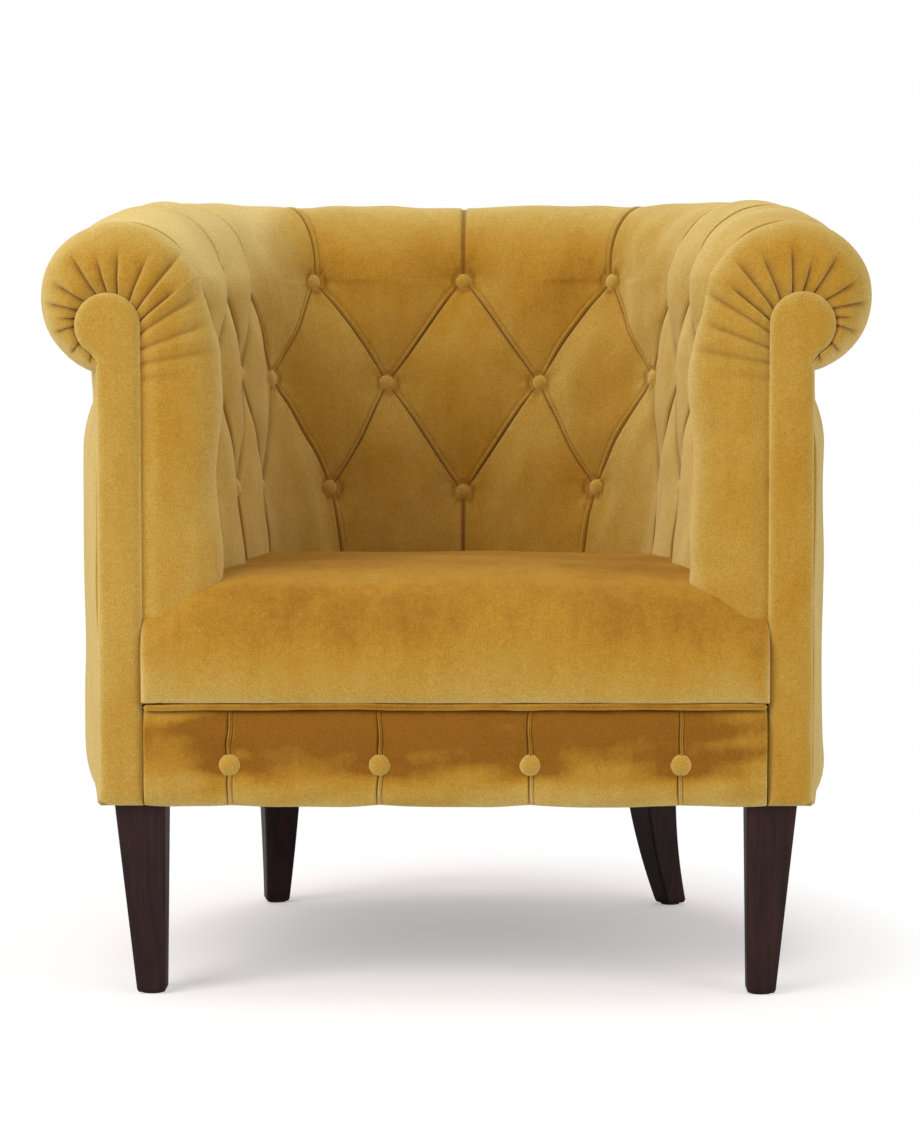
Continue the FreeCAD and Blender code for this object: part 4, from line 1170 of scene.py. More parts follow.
    def gathers(self, length: Array, seed: int) -> Tuple[Array, Array]:
        """Folds of the gathered front, by length along the facing's edge.

        A fold rises from its bottom as 1 - exp(-(gap / width) ^ 1.1), steeply on one side.

        Args:
            length: length along the edge.
            seed: seed of their unevenness.

        Returns:
            Height from 0 in a fold's bottom to 1 between folds, and how far out it reaches.
        """
        rng = np.random.default_rng(seed)
        marks = np.array(self.gather_marks)
        reach = np.array(self.gather_reach) * rng.uniform(0.9, 1.08, len(marks))
        apart = length[:, None] - marks[None, :]
        nearest = np.argmin(np.abs(apart), axis=1)
        gap = apart[np.arange(len(length)), nearest]
        sharp = np.where(gap < 0, 0.9, 3.2)
        return 1.0 - np.exp(-(np.abs(gap) / sharp) ** 1.1), reach[nearest]

    def straight_columns(self) -> Array:
        """Columns that go straight on from the last one to where the cover turns to the front.

        Returns:
            Column coordinates, the last column's own left out.
        """
        end = Tub.columns * (run_at(self.turn_y) / ROW_LENGTH) ** (1.0 / Tub.evenness)
        share = np.arange(1, self.front_columns + 1) / self.front_columns
        return Tub.columns + (end - Tub.columns) * share

    def front(self, side: Side, row: Array, share: Array) -> Tuple[Array, Array]:
        """The cover from the last column forwards, round into the facing's edge.

        Past a straight stretch each row turns on a quarter of a full ellipse: its way to the
        facing's edge goes as 1 - cos and its way forwards as sin. Folds press it in along its
        own outward direction, more towards the edge.

        Args:
            side: which arm.
            row: row coordinate of each row at the last column.
            share: roll share of each row.

        Returns:
            Points of rows by columns, from behind forwards, and the painted shade at each.
        """
        steps = self.straight_columns()
        column = np.broadcast_to(steps[None, :], (len(row), len(steps))) * side.value
        ahead, creased_shade = self.surface(column, row[:, None] + 0.0 * column, share[:, None] + 0.0 * column)
        start = ahead[:, -1]
        run = np.full(len(row), column_run(steps[-1]))
        on_roll = share > 0
        angle = self.roll_angles(run, share, Tub.crown)[0]
        length = self.rim_lengths(angle, self.heights(run, row), on_roll)
        edge = facing_outline(length, 1.5)
        rim = np.stack([edge.real * side.value, np.full(len(row), self.rim_y), edge.imag], axis=-1)
        turn = np.linspace(0.0, np.pi / 2, self.turn_columns + 1)[1:]
        way = 1.0 - np.cos(turn) ** 0.9
        forth = np.sin(turn) ** 0.9
        flat = rim - start
        points = start[:, None, :] + flat[:, None, :] * way[None, :, None]
        dip = (self.rim_y - self.front_y) * smooth((way - 0.72) / 0.28)
        points[..., 1] = (start[:, None, 1] + (self.front_y - start[:, None, 1]) * forth[None, :]
                          + dip[None, :])
        outward = -flat * np.array([1.0, 0.0, 1.0])
        outward = outward / np.maximum(np.linalg.norm(outward, axis=-1), 1e-6)[:, None]
        normal = (outward[:, None, :] * np.cos(turn)[None, :, None]
                  + np.array([0.0, -1.0, 0.0]) * np.sin(turn)[None, :, None])
        height, reach = self.gathers(length, 40 + side.value)
        shown = smooth((way[None, :] - (1.0 - reach[:, None])) / 0.3)
        depth = self.gather_depth * shown * (1.0 - 0.35 * smooth((way[None, :] - 0.9) / 0.1))
        wave = self.ripples(length * 1.7, np.full_like(length, 300.0 * side.value))
        offset = depth * (height[:, None] - 1.0) + wave[:, None] * np.sin(2.0 * turn)[None, :]
        points = points + normal * offset[..., None]
        # Painted shade in the bottoms of the gathered folds.
        fold = (1.0 - height[:, None]) * shown
        return (np.concatenate([ahead, points], axis=1),
                np.concatenate([creased_shade, 0.95 * fold ** 1.6], axis=1))

    def core(self, column: Array) -> Array:
        """Hidden back of the cover: up behind the wall and round inside the roll.

        Args:
            column: column coordinate of every vertex column between the arms' turns.

        Returns:
            Points of core rows by columns, from under the seat to the roll's outer edge.
        """
        run = column_run(column)
        rows = [wall_point(run, np.full_like(run, z), np.full_like(run, self.core_set))
                for z in (self.low_z + 4.0, 500.0, 600.0, 690.0)]
        for angle in np.radians(self.core_turns):
            rows.append(roll_point(run, np.full_like(run, angle), np.full_like(run, self.core_r)))
        return np.stack(rows)

    def front_core(self, behind: Array, side: Side) -> Array:
        """Core rows carried forwards to behind the facing.

        Args:
            behind: core rows by columns of the straight stretch.
            side: which arm.

        Returns:
            Core rows by the turning columns.
        """
        start = behind[:, -1]
        strip = Tub.facing_x + Tub.facing_w / 2
        head = facing_outline(np.array([0.0]))[0] + Tub.bulb_r
        spots = [complex(strip, z) for z in (self.low_z + 4.0, 500.0, 600.0, 650.0)]
        spots += [head + self.core_front_r * np.exp(1j * math.radians(a)) for a in self.core_turns]
        end_y = self.rim_y + self.core_front_set
        end = np.array([[s.real * side.value, end_y, s.imag] for s in spots])
        way = smooth(np.arange(1, self.turn_columns + 1) / self.turn_columns)
        return start[:, None, :] + (end - start)[:, None, :] * way[None, :, None]

    def build(self) -> bpy.types.Object:
        """Builds the cover as one closed piece.

        Returns:
            The piece.
        """
        column, row, share = self.lattice()
        middle, creased_shade = self.surface(column, row, share)
        edge_row, edge_share = row[:, -1], share[:, -1]
        right, right_crease_shade = self.front(Side.RIGHT, edge_row, edge_share)
        left, left_crease_shade = self.front(Side.LEFT, edge_row, edge_share)
        shown = np.concatenate([left[:, ::-1], middle, right], axis=1)
        painted_crease_shade = np.concatenate([left_crease_shade[:, ::-1], creased_shade, right_crease_shade], axis=1)

        straight = self.straight_columns()
        hidden = self.core(np.concatenate([-straight[::-1], column[0], straight]))
        hidden = np.concatenate([self.front_core(hidden[:, ::-1], Side.LEFT)[:, ::-1], hidden,
                                 self.front_core(hidden, Side.RIGHT)], axis=1)
        points = np.concatenate([shown, hidden])
        rows, columns = points.shape[:2]
        quads = grid_quads(rows, columns, wrap_rows=True)
        first = self.cut_choice(column, row, rows, columns)
        # These two hidden end caps face inwards: they run the other way round than the grid.
        caps = [cap[:, ::-1] for cap in end_caps(rows, columns)]
        faces = [split_quads(quads, first)] + caps
        numbers = np.concatenate([painted_crease_shade, np.zeros(hidden.shape[:2])])
        piece = new_piece("inside_cover", points.reshape(-1, 3), faces, self.velvet,
                          {"painted_crease_shade": numbers, "nap": self.nap(points)})
        dress(piece, ("arm_padding_left", "arm_padding_right", "back_padding",
                                   "arm_roll_left", "arm_roll_right", "back_roll"))
        return piece

    def nap(self, points: Array) -> Array:
        """How the pile lies, with painted light and shade laid into it: above zero pale, below zero deep.

        It is palest on top of the left arm, a painted light from the left, then at the lower left of
        the back, painted paler to lift the shade there, and on the arms' fronts. It is deeper over the
        back's roll, and with painted shade over the right roll and along the inside of the left arm.

        Args:
            points: points in millimetres.

        Returns:
            How the pile lies at each, with its painted light and shade.
        """
        x, y, z = points[..., 0], points[..., 1], points[..., 2]
        low = smooth((640.0 - z) / 160.0) * smooth((y - 300.0) / 200.0)
        roll = smooth((z - 650.0) / 170.0)
        side = smooth((np.abs(x) - 200.0) / 60.0)
        arm_top = smooth((z - 715.0) / 40.0) * smooth((y - 60.0) / 90.0) * side
        # Painted light and shade in the nap: the top of the left arm paler, as lit from the left; the right
        # roll and the inside of the left arm deeper, as in shade; the lower left of the back paler, to lift
        # its shade.
        pile_lie_and_painted_light = 0.2 - 0.15 * low * (1.0 - side) - 0.3 * roll * (1.0 - side)
        shaded = smooth((y - 40.0) / 60.0) * smooth((700.0 - z) / 60.0) * side * (x < 0)
        pile_lie_and_painted_light = pile_lie_and_painted_light - 0.4 * shaded + 0.35 * low * (1.0 - side) * (x < 0)
        return pile_lie_and_painted_light - 0.5 * roll * side * (x > 0) + 1.35 * arm_top * (x < 0) + 0.3 * arm_top * (x > 0)

    def cut_choice(self, column: Array, row: Array, rows: int, columns: int) -> Array:
        """Which diagonal cuts each quad: the one along the nearer pleat family.

        Args:
            column: column coordinates between the last columns.
            row: row coordinates there.
            rows: rows of the whole grid.
            columns: columns of the whole grid.

        Returns:
            True for the diagonal that joins a quad's first and third corner.
        """
        half = np.clip(row, 0.0, 2.0) / 2.0
        nearer = from_centre(column - half) < from_centre(column + half)
        first = np.zeros((rows, columns - 1), dtype=bool)
        start = self.front_columns + self.turn_columns
        first[:row.shape[0], start:start + row.shape[1]] = nearer
        return first.ravel()


# ---------------------------------------------------------------- buttons


@dataclass
class Buttons:
    """Covered buttons: a low dome with a turned-under rim and a faint gathered edge."""

    velvet: bpy.types.Material
    radius: float = 11.0
    height: float = 9.0
    sink: float = 5.0
    brushed: float = 0.35
    around: int = 48

    def profile(self) -> Tuple[Array, Array]:
        """Radius and height of the dome's rings, from the middle of its back to its top.

        The dome's height falls from its top as the radius share to the 2.6.

        Returns:
            Radii and heights.
        """
        share = np.linspace(1.0, 0.0, 14)
        dome_r = self.radius * share
        dome_h = self.height * 0.42 + self.height * 0.58 * (1.0 - share ** 2.6)
        side_r = self.radius * np.array([0.0, 0.45, 0.82, 0.96, 1.0, 1.01])
        side_h = self.height * np.array([0.0, 0.0, 0.02, 0.10, 0.22, 0.34])
        return np.concatenate([side_r, dome_r]), np.concatenate([side_h, dome_h])

    def build(self, name: str, centres: Array, outward: Array, nodes: Sequence[str]) -> bpy.types.Object:
        """Builds a group of buttons as one piece.

        Args:
            name: the piece's name.
            centres: centre of each on the button line.
            outward: direction of each from its face to its back.
            nodes: frame nodes that the piece stands for.

        Returns:
            The piece.
        """
        radii, heights = self.profile()
        angles = np.arange(self.around) * 2.0 * np.pi / self.around
        rings = len(radii)
        quads = grid_quads(rings, self.around, wrap_columns=True)
        points = []
        faces = []
        for k, (centre, out) in enumerate(zip(centres, outward)):
            across = np.cross(out, [0.0, 0.0, 1.0])
            across = across / np.linalg.norm(across)
            up = np.cross(across, out)
            near_rim = np.exp(-((radii / self.radius - 0.95) / 0.2) ** 2)[:, None]
            reach = radii[:, None] * (1.0 + 0.012 * np.cos(9.0 * angles + k) * near_rim)
            ring = (reach[..., None] * (np.cos(angles)[None, :, None] * across
                                        + np.sin(angles)[None, :, None] * up))
            spot = centre + out * self.sink + ring - out * heights[:, None, None]
            points.append(spot.reshape(-1, 3))
            faces.append(quads + k * rings * self.around)
        spots = np.concatenate(points)
        piece = new_piece(name, spots, [np.concatenate(faces)], self.velvet,
                          {"nap": np.full(len(spots), self.brushed)})
        merge_close(piece)
        dress(piece, nodes)
        return piece


def merge_close(piece: bpy.types.Object, distance: float = 0.00001) -> None:
    """Joins vertices that share a place, so that poles and seams are closed.

    Args:
        piece: the object.
        distance: how near they have to be, in metres.
    """
    mesh = bmesh.new()
    mesh.from_mesh(piece.data)
    bmesh.ops.remove_doubles(mesh, verts=mesh.verts, dist=distance)
    bmesh.ops.dissolve_degenerate(mesh, edges=mesh.edges, dist=distance / 10.0)
    mesh.to_mesh(piece.data)
    mesh.free()


# ---------------------------------------------------------------- arm facings


@dataclass
class ArmFacing:
    """Padded paddle-shaped front of an arm: a round head over a straight strip."""

    velvet: bpy.types.Material
    side: Side
    strip_samples: int = 120
    shoulder_samples: int = 16
    head_samples: int = 72
    rings: int = 14
    edge_y: float = 8.0
    back_y: float = 11.8
    round_over: float = 9.0
    foot_r: float = 10.0
    crown: float = 2.6
    crown_reach: float = 22.0

    def outline(self) -> Tuple[Array, Array]:
        """The edge as a closed loop, and the point of the middle line that each goes towards.

        Returns:
            Edge points and middle points as x + iz.
        """
        head_z = facing_outline(np.array([0.0]))[0].imag
        middle_x = Tub.facing_x + Tub.facing_w / 2
        head = complex(Tub.facing_x + Tub.bulb_r, head_z)
        neck_z = facing_outline(np.array([FACING_HEAD_LENGTH + FACING_NECK_LENGTH]))[0].imag
        low = np.linspace(Tub.body_bottom + 0.5, neck_z, self.strip_samples)
        rise = np.linspace(neck_z, head_z, self.shoulder_samples + 1)[1:]
        share = (rise - neck_z) / (head_z - neck_z)
        shoulder_middle = middle_x + (head.real - middle_x) * share + 1j * rise
        low_middle = middle_x + 1j * np.maximum(low, Tub.body_bottom + Tub.facing_w / 2)
        inner = facing_outline(np.concatenate([low, rise]) - head_z)
        over = facing_outline(np.linspace(0.0, FACING_HEAD_LENGTH, self.head_samples)[1:-1])
        neck = facing_outline(FACING_HEAD_LENGTH + FACING_NECK_LENGTH * (1.0 - share[::-1]))
        drop = np.clip(low[0] + self.foot_r - low[::-1], 0.0, self.foot_r)
        outer = (Tub.facing_x + Tub.facing_w - self.foot_r + np.sqrt(self.foot_r ** 2 - drop ** 2)
                 + 1j * low[::-1])
        bottom = np.linspace(0.0, 1.0, 12)[1:-1]
        foot = (Tub.facing_x + (Tub.facing_w - self.foot_r) * (1.0 - bottom)) + 1j * low[0]
        edge = np.concatenate([inner, over, neck, outer, foot])
        middle = np.concatenate([low_middle, shoulder_middle, np.full(len(over), head),
                                 shoulder_middle[::-1], low_middle[::-1],
                                 np.full(len(foot), low_middle[0])])
        return edge, middle

    def build(self) -> bpy.types.Object:
        """Builds the facing: rings go from the back's middle, out to the edge, round it and in.

        The front rises over the edge as a quarter of a circle of the rounding, then as a low
        parabola to the middle line.

        Returns:
            The piece.
        """
        edge, middle = self.outline()
        width = np.abs(middle - edge)
        across = np.linspace(0.0, 1.0, self.rings + 1)[1:] ** 1.35
        share = np.concatenate([[1.0, 0.5, 0.06, 0.0, 0.0], across])
        inset = share[:, None] * width[None, :]
        place = edge[None, :] + (middle - edge)[None, :] * share[:, None]
        over = np.clip(inset / self.round_over, 0.0, 1.0)
        rounded = self.edge_y * (1.0 - np.sqrt(1.0 - (1.0 - over) ** 2))
        y = rounded - self.crown * smooth(inset / self.crown_reach)
        y[0], y[1], y[2] = self.back_y, self.back_y, self.back_y
        y[3] = self.back_y - 1.0
        ripple = Ripple(70 + self.side.value, 18, 30.0, 140.0, 0.35)
        y[5:] += ripple(place.real, place.imag)[5:] * smooth(over[5:])
        points = np.stack([place.real * self.side.value, y, place.imag], axis=-1)
        quads = grid_quads(points.shape[0], points.shape[1], wrap_columns=True)
        name = "arm_facing_" + self.side.name.lower()
        # Painted light: the left facing is set paler than the right, as lit from the left.
        piece = new_piece(name, points.reshape(-1, 3), [quads], self.velvet,
                          {"nap": np.full(points.shape[:2], 0.3 - 0.1 * self.side.value)})
        merge_close(piece)
        dress(piece, ("facing_pad_" + self.side.name.lower(),))
        return piece


# ---------------------------------------------------------------- outside cover


@dataclass
class OutsideCover:
    """Smooth cover of the outside of both arms and the back, tucked up under the roll."""

    velvet: bpy.types.Material
    along: int = 300
    up: int = 64
    bottom_z: float = 198.3
    top_z: float = 702.0
    thickness: float = 9.0
    lopsided: float = 4.5
    round_z: float = 244.0
    round_reach: float = 46.0
    round_depth: float = 10.5
    drawn_z: float = 560.0
    drawn_step: float = 50.0
    drawn_rate: float = 10.0
    facing_room: float = 1.0
    post_room: float = 8.0
    side_room: float = 18.0
    back_room: float = 53.0

    def line(self, run_share: Array, inset: Array) -> Array:
        """Point of the outside seen from above: side arc, corner arc, back arc, and mirrored.

        Args:
            run_share: from -1 at the left arm's front to 1 at the right arm's front.
            inset: how far inside the surface.

        Returns:
            Points as x + iy.
        """
        run_y = Tub.side_widest_y - Tub.outer_start_y
        side_r = (Tub.side_bulge ** 2 + run_y ** 2) / (2.0 * Tub.side_bulge)
        outer_x = Tub.facing_x + Tub.facing_w
        side_centre = complex(outer_x + Tub.side_bulge - side_r, Tub.side_widest_y)
        back_r = Tub.back_r + Tub.outer_back_set
        to_side = side_r - Tub.outer_corner_r
        to_back = back_r - Tub.outer_corner_r
        between = Tub.back_centre - side_centre
        apart = abs(between)
        along = (to_side ** 2 - to_back ** 2 + apart ** 2) / (2.0 * apart)
        across = math.sqrt(to_side ** 2 - along ** 2)
        unit = between / apart
        corner = side_centre + unit * along + 1j * unit * across
        side_turn = np.angle(corner - side_centre)
        back_turn = np.angle(corner - Tub.back_centre)
        start_turn = math.asin((Tub.outer_start_y - Tub.side_widest_y) / side_r)
        lengths = np.array([(side_turn - start_turn) * side_r, (back_turn - side_turn) * Tub.outer_corner_r,
                            (np.pi / 2 - back_turn) * back_r])
        total = lengths.sum()
        way = (1.0 - np.abs(run_share)) * total
        on_side = start_turn + way / side_r
        on_corner = side_turn + (way - lengths[0]) / Tub.outer_corner_r
        on_back = back_turn + (way - lengths[0] - lengths[1]) / back_r
        spot = np.where(way < lengths[0], side_centre + (side_r - inset) * np.exp(1j * on_side),
                        np.where(way < lengths[0] + lengths[1],
                                 corner + (Tub.outer_corner_r - inset) * np.exp(1j * on_corner),
                                 Tub.back_centre + (back_r - inset) * np.exp(1j * on_back)))
        return np.where(run_share < 0, -np.conj(spot), spot)

    def inset(self, z: Array, y: Array) -> Array:
        """How far the cover lies inside the widest level: rounded under, and drawn in at the top.

        Under its rounding height it grows as the power 2.6 of the depth. Above the height where
        it is drawn in, it grows as the square of the height, as far as there is room: least at
        the facing board, more at the posts, more again between them and most at the back.

        Args:
            z: heights.
            y: distances behind the facings.

        Returns:
            The inset at each.
        """
        behind_board = 0.1 + 0.9 * smooth((y - 26.0) / 50.0)
        low = np.clip((self.round_z - z) / self.round_reach, 0.0, 1.0)
        under = self.round_depth * low ** 2.6 * behind_board
        drawn = self.drawn_rate * (np.maximum(0.0, z - self.drawn_z) / self.drawn_step) ** 2
        between_posts = smooth((y - 95.0) / 60.0) * (1.0 - smooth((y - 330.0) / 60.0))
        room = (self.facing_room + self.post_room * smooth((y - 26.0) / 20.0)
                + self.back_room * smooth((y - 450.0) / 170.0) + self.side_room * between_posts)
        return under + np.minimum(drawn, room)

    def build(self) -> bpy.types.Object:
        """Builds the cover as a closed band: outer face, top edge, inner face, bottom edge.

        Returns:
            The piece.
        """
        share = np.linspace(-1.0, 1.0, self.along)[None, :]
        z = self.bottom_z + (self.top_z - self.bottom_z) * np.linspace(0.0, 1.0, self.up)[:, None]
        y = self.line(share, 0.0 * share).imag
        outer = self.line(share + 0.0 * z, self.inset(z, y))
        inner_z = np.linspace(self.top_z, self.bottom_z, 16)[:, None]
        inner = self.line(share + 0.0 * inner_z, self.inset(inner_z, y) + self.thickness)
        place = np.concatenate([outer, inner])
        heights = np.concatenate([z, inner_z]) + 0.0 * share
        points = np.stack([place.real, place.imag, heights], axis=-1)
        points[..., 0] -= self.lopsided * smooth(points[..., 1] / 120.0) * smooth((heights - 198.0) / 60.0)
        ripple = Ripple(23, 22, 90.0, 320.0, 0.9)
        out = np.gradient(points[:self.up], axis=1)
        normal = np.stack([out[..., 1], -out[..., 0], 0.0 * out[..., 0]], axis=-1)
        normal /= np.maximum(np.linalg.norm(normal, axis=-1), 1e-6)[..., None]
        sign = np.sign((normal[..., 0] * points[:self.up, :, 0]).sum())
        inside = smooth(np.minimum(z - self.bottom_z, 60.0) / 60.0)
        points[:self.up] += (normal * sign) * (ripple(share * 900.0 + 0.0 * z, z + 0.0 * share)
                                               * inside - 0.4)[..., None]
        rows, columns = points.shape[:2]
        quads = grid_quads(rows, columns, wrap_rows=True)
        ends = end_caps(rows, columns)
        piece = new_piece("outside_cover", points.reshape(-1, 3), [quads] + ends, self.velvet,
                          {"nap": 0.0 * heights})
        dress(piece, ("outside_arm_panel_left", "outside_arm_panel_right",
                                   "outside_back_panel"))
        return piece


# ---------------------------------------------------------------- seat, border and piping


@dataclass
class Seat:
    """Tight stuffed seat: crowned top, rounded nose, front drawn down to the piping."""

    velvet: bpy.types.Material
    half_width: float = 320.2
    across: int = 190
    crown_z: float = 441.5
    nose_r: float = 38.0
    dome_y: float = 165.0
    front_y: float = -11.5
    bottom_z: float = 305.0
    tuck_y: float = -4.0
    back_set: float = 12.0
    sag: float = 4.0
    arm_fall: float = 20.0
    back_fall: float = 14.0
    front_fall: float = 24.0
    corner_w: float = 16.0
    corner_in: float = 9.5
    belly: float = 1.6
    under_y: float = 20.0
    under_z: float = 312.0
    dart_depth: float = 2.0

    def half_widths(self, y: Array) -> Array:
        """Half width at a distance behind the facings: full in front, then under the padding."""
        wall = Tub.arm_line_x + 14.0 - Tub.lean_arm - y * math.tan(Tub.toe_in)
        return self.half_width + (wall - self.half_width) * smooth((y - 22.0) / 50.0)

    def top(self, x: Array, y: Array) -> Array:
        """Height of the top: a crown that falls to the arms, to the back and to the front.

        It falls as the square of the distance across, in smooth steps at the arms and at the
        back, and as the power 2.2 of the nearness to the front.

        Args:
            x: distances across.
            y: distances behind the facings.

        Returns:
            The heights.
        """
        fall = self.sag * (np.abs(x) / 245.0) ** 2
        fall = fall + self.arm_fall * smooth((np.abs(x) - 258.0) / 66.0)
        behind = self.back_fall * smooth((y - 300.0) / 220.0)
        front = self.front_fall * np.clip(1.0 - (y - self.front_y) / self.dome_y, 0.0, 1.0) ** 2.2
        ripple = Ripple(5, 20, 110.0, 330.0, 0.9)
        return self.crown_z - fall - behind - front + ripple(x, y)

    def build(self) -> bpy.types.Object:
        """Builds the seat: every column is one closed profile from seam to seam and back below.

        The nose is a quarter circle between the front face and the top.

        Returns:
            The piece.
        """
        t = np.linspace(-1.0, 1.0, self.across)
        t = (0.85 * t + 0.15 * np.sin(t * np.pi / 2))[None, :]
        face = np.linspace(0.0, 1.0, 26)[:, None]
        nose = np.linspace(0.0, np.pi / 2, 34)[1:, None]
        top = np.linspace(0.0, 1.0, 90)[1:, None]
        x_front = t * self.half_width
        past = np.abs(x_front) - (self.half_width - self.corner_w)
        corner = np.clip(past / self.corner_w, 0.0, 1.0)
        back_in = self.corner_in * (1.0 - np.sqrt(np.maximum(0.0, 1.0 - corner ** 2.2)))
        y0 = self.front_y + back_in
        shoulder = self.top(x_front, y0) - self.nose_r
        z_face = self.bottom_z + (shoulder - self.bottom_z) * face
        tuck = (self.tuck_y - self.front_y) * np.exp(-(z_face - self.bottom_z) / 6.0)
        belly = -self.belly * np.sin(np.pi * np.clip(face, 0.0, 1.0)) * (1.0 - corner)
        ripple = Ripple(9, 20, 60.0, 260.0, 0.8)
        dart = self.darts(x_front + 0.0 * z_face, z_face)
        uneven = ripple(x_front + 0.0 * z_face, z_face) * (1.0 - corner)
        y_face = y0 + tuck * (1.0 - corner) + belly + uneven + dart
        front = np.stack([x_front + 0.0 * z_face, y_face, z_face], axis=-1)

        uneven = ripple(x_front, shoulder + 0.0 * x_front) * (1.0 - corner)
        y_nose = y0 + uneven + self.nose_r * (1.0 - np.cos(nose))
        x_nose = t * self.half_widths(y_nose)
        z_nose = self.top(x_nose, y_nose + 0.0 * x_nose) - self.nose_r * (1.0 - np.sin(nose))
        round_over = np.stack([x_nose, y_nose, z_nose], axis=-1)

        y_start = y_nose[-1:]
        reach = Tub.back_centre.imag + Tub.back_r - Tub.lean_back + self.back_set
        x_guess = t * self.half_widths(y_start + (reach - y_start) * top)
        radius = Tub.back_r - Tub.lean_back + self.back_set
        y_back = Tub.back_centre.imag + np.sqrt(radius ** 2 - x_guess ** 2)
        y_top = y_start + (y_back - y_start) * top
        x_top = t * self.half_widths(y_top)
        upper = np.stack([x_top, y_top, self.top(x_top, y_top)], axis=-1)

        low_steps = np.linspace(1.0, 0.0, 6)[:, None]
        y_low = self.under_y + (y_top[-1:] - self.under_y) * low_steps
        x_low = t * np.minimum(self.half_widths(y_low), self.half_width)
        under = np.stack([x_low, y_low, self.under_z + 0.0 * x_low], axis=-1)
        points = np.concatenate([front, round_over, upper, under])
        rows, columns = points.shape[:2]
        quads = grid_quads(rows, columns, wrap_rows=True)
        ends = end_caps(rows, columns)
        # Nap with painted sheen and shade: pale low on the front, deeper over the nose and deepest on the
        # top, which faces up.
        pile_lie_and_painted_light = np.concatenate([0.7 - 0.8 * face, -0.1 - 1.5 * (nose / nose[-1]) ** 1.4,
                              -1.6 - 0.7 * smooth(top * 5.0), 0.0 * low_steps])
        piece = new_piece("seat_cover", points.reshape(-1, 3), [quads] + ends, self.velvet,
                          {"nap": pile_lie_and_painted_light + 0.0 * t})
        dress(piece, ("seat_cushion",))
        return piece

    def darts(self, x: Array, z: Array) -> Array:
        """Small darts at the lower front corners: two short slanting grooves on each side.

        Each is exp of minus the distance from its line, and fades upwards as a bell curve.

        Args:
            x: distances across.
            z: heights.

        Returns:
            The grooves' depth.
        """
        total = np.zeros(np.broadcast(x, z).shape)
        for start, slope in ((self.half_width - 9.0, 0.35), (self.half_width - 20.0, 0.8)):
            line_x = start - slope * (z - self.bottom_z)
            away = np.abs(np.abs(x) - line_x)
            total = total + self.dart_depth * np.exp(-away / 2.2) * np.exp(-((z - self.bottom_z) / 14.0) ** 2)
        return total


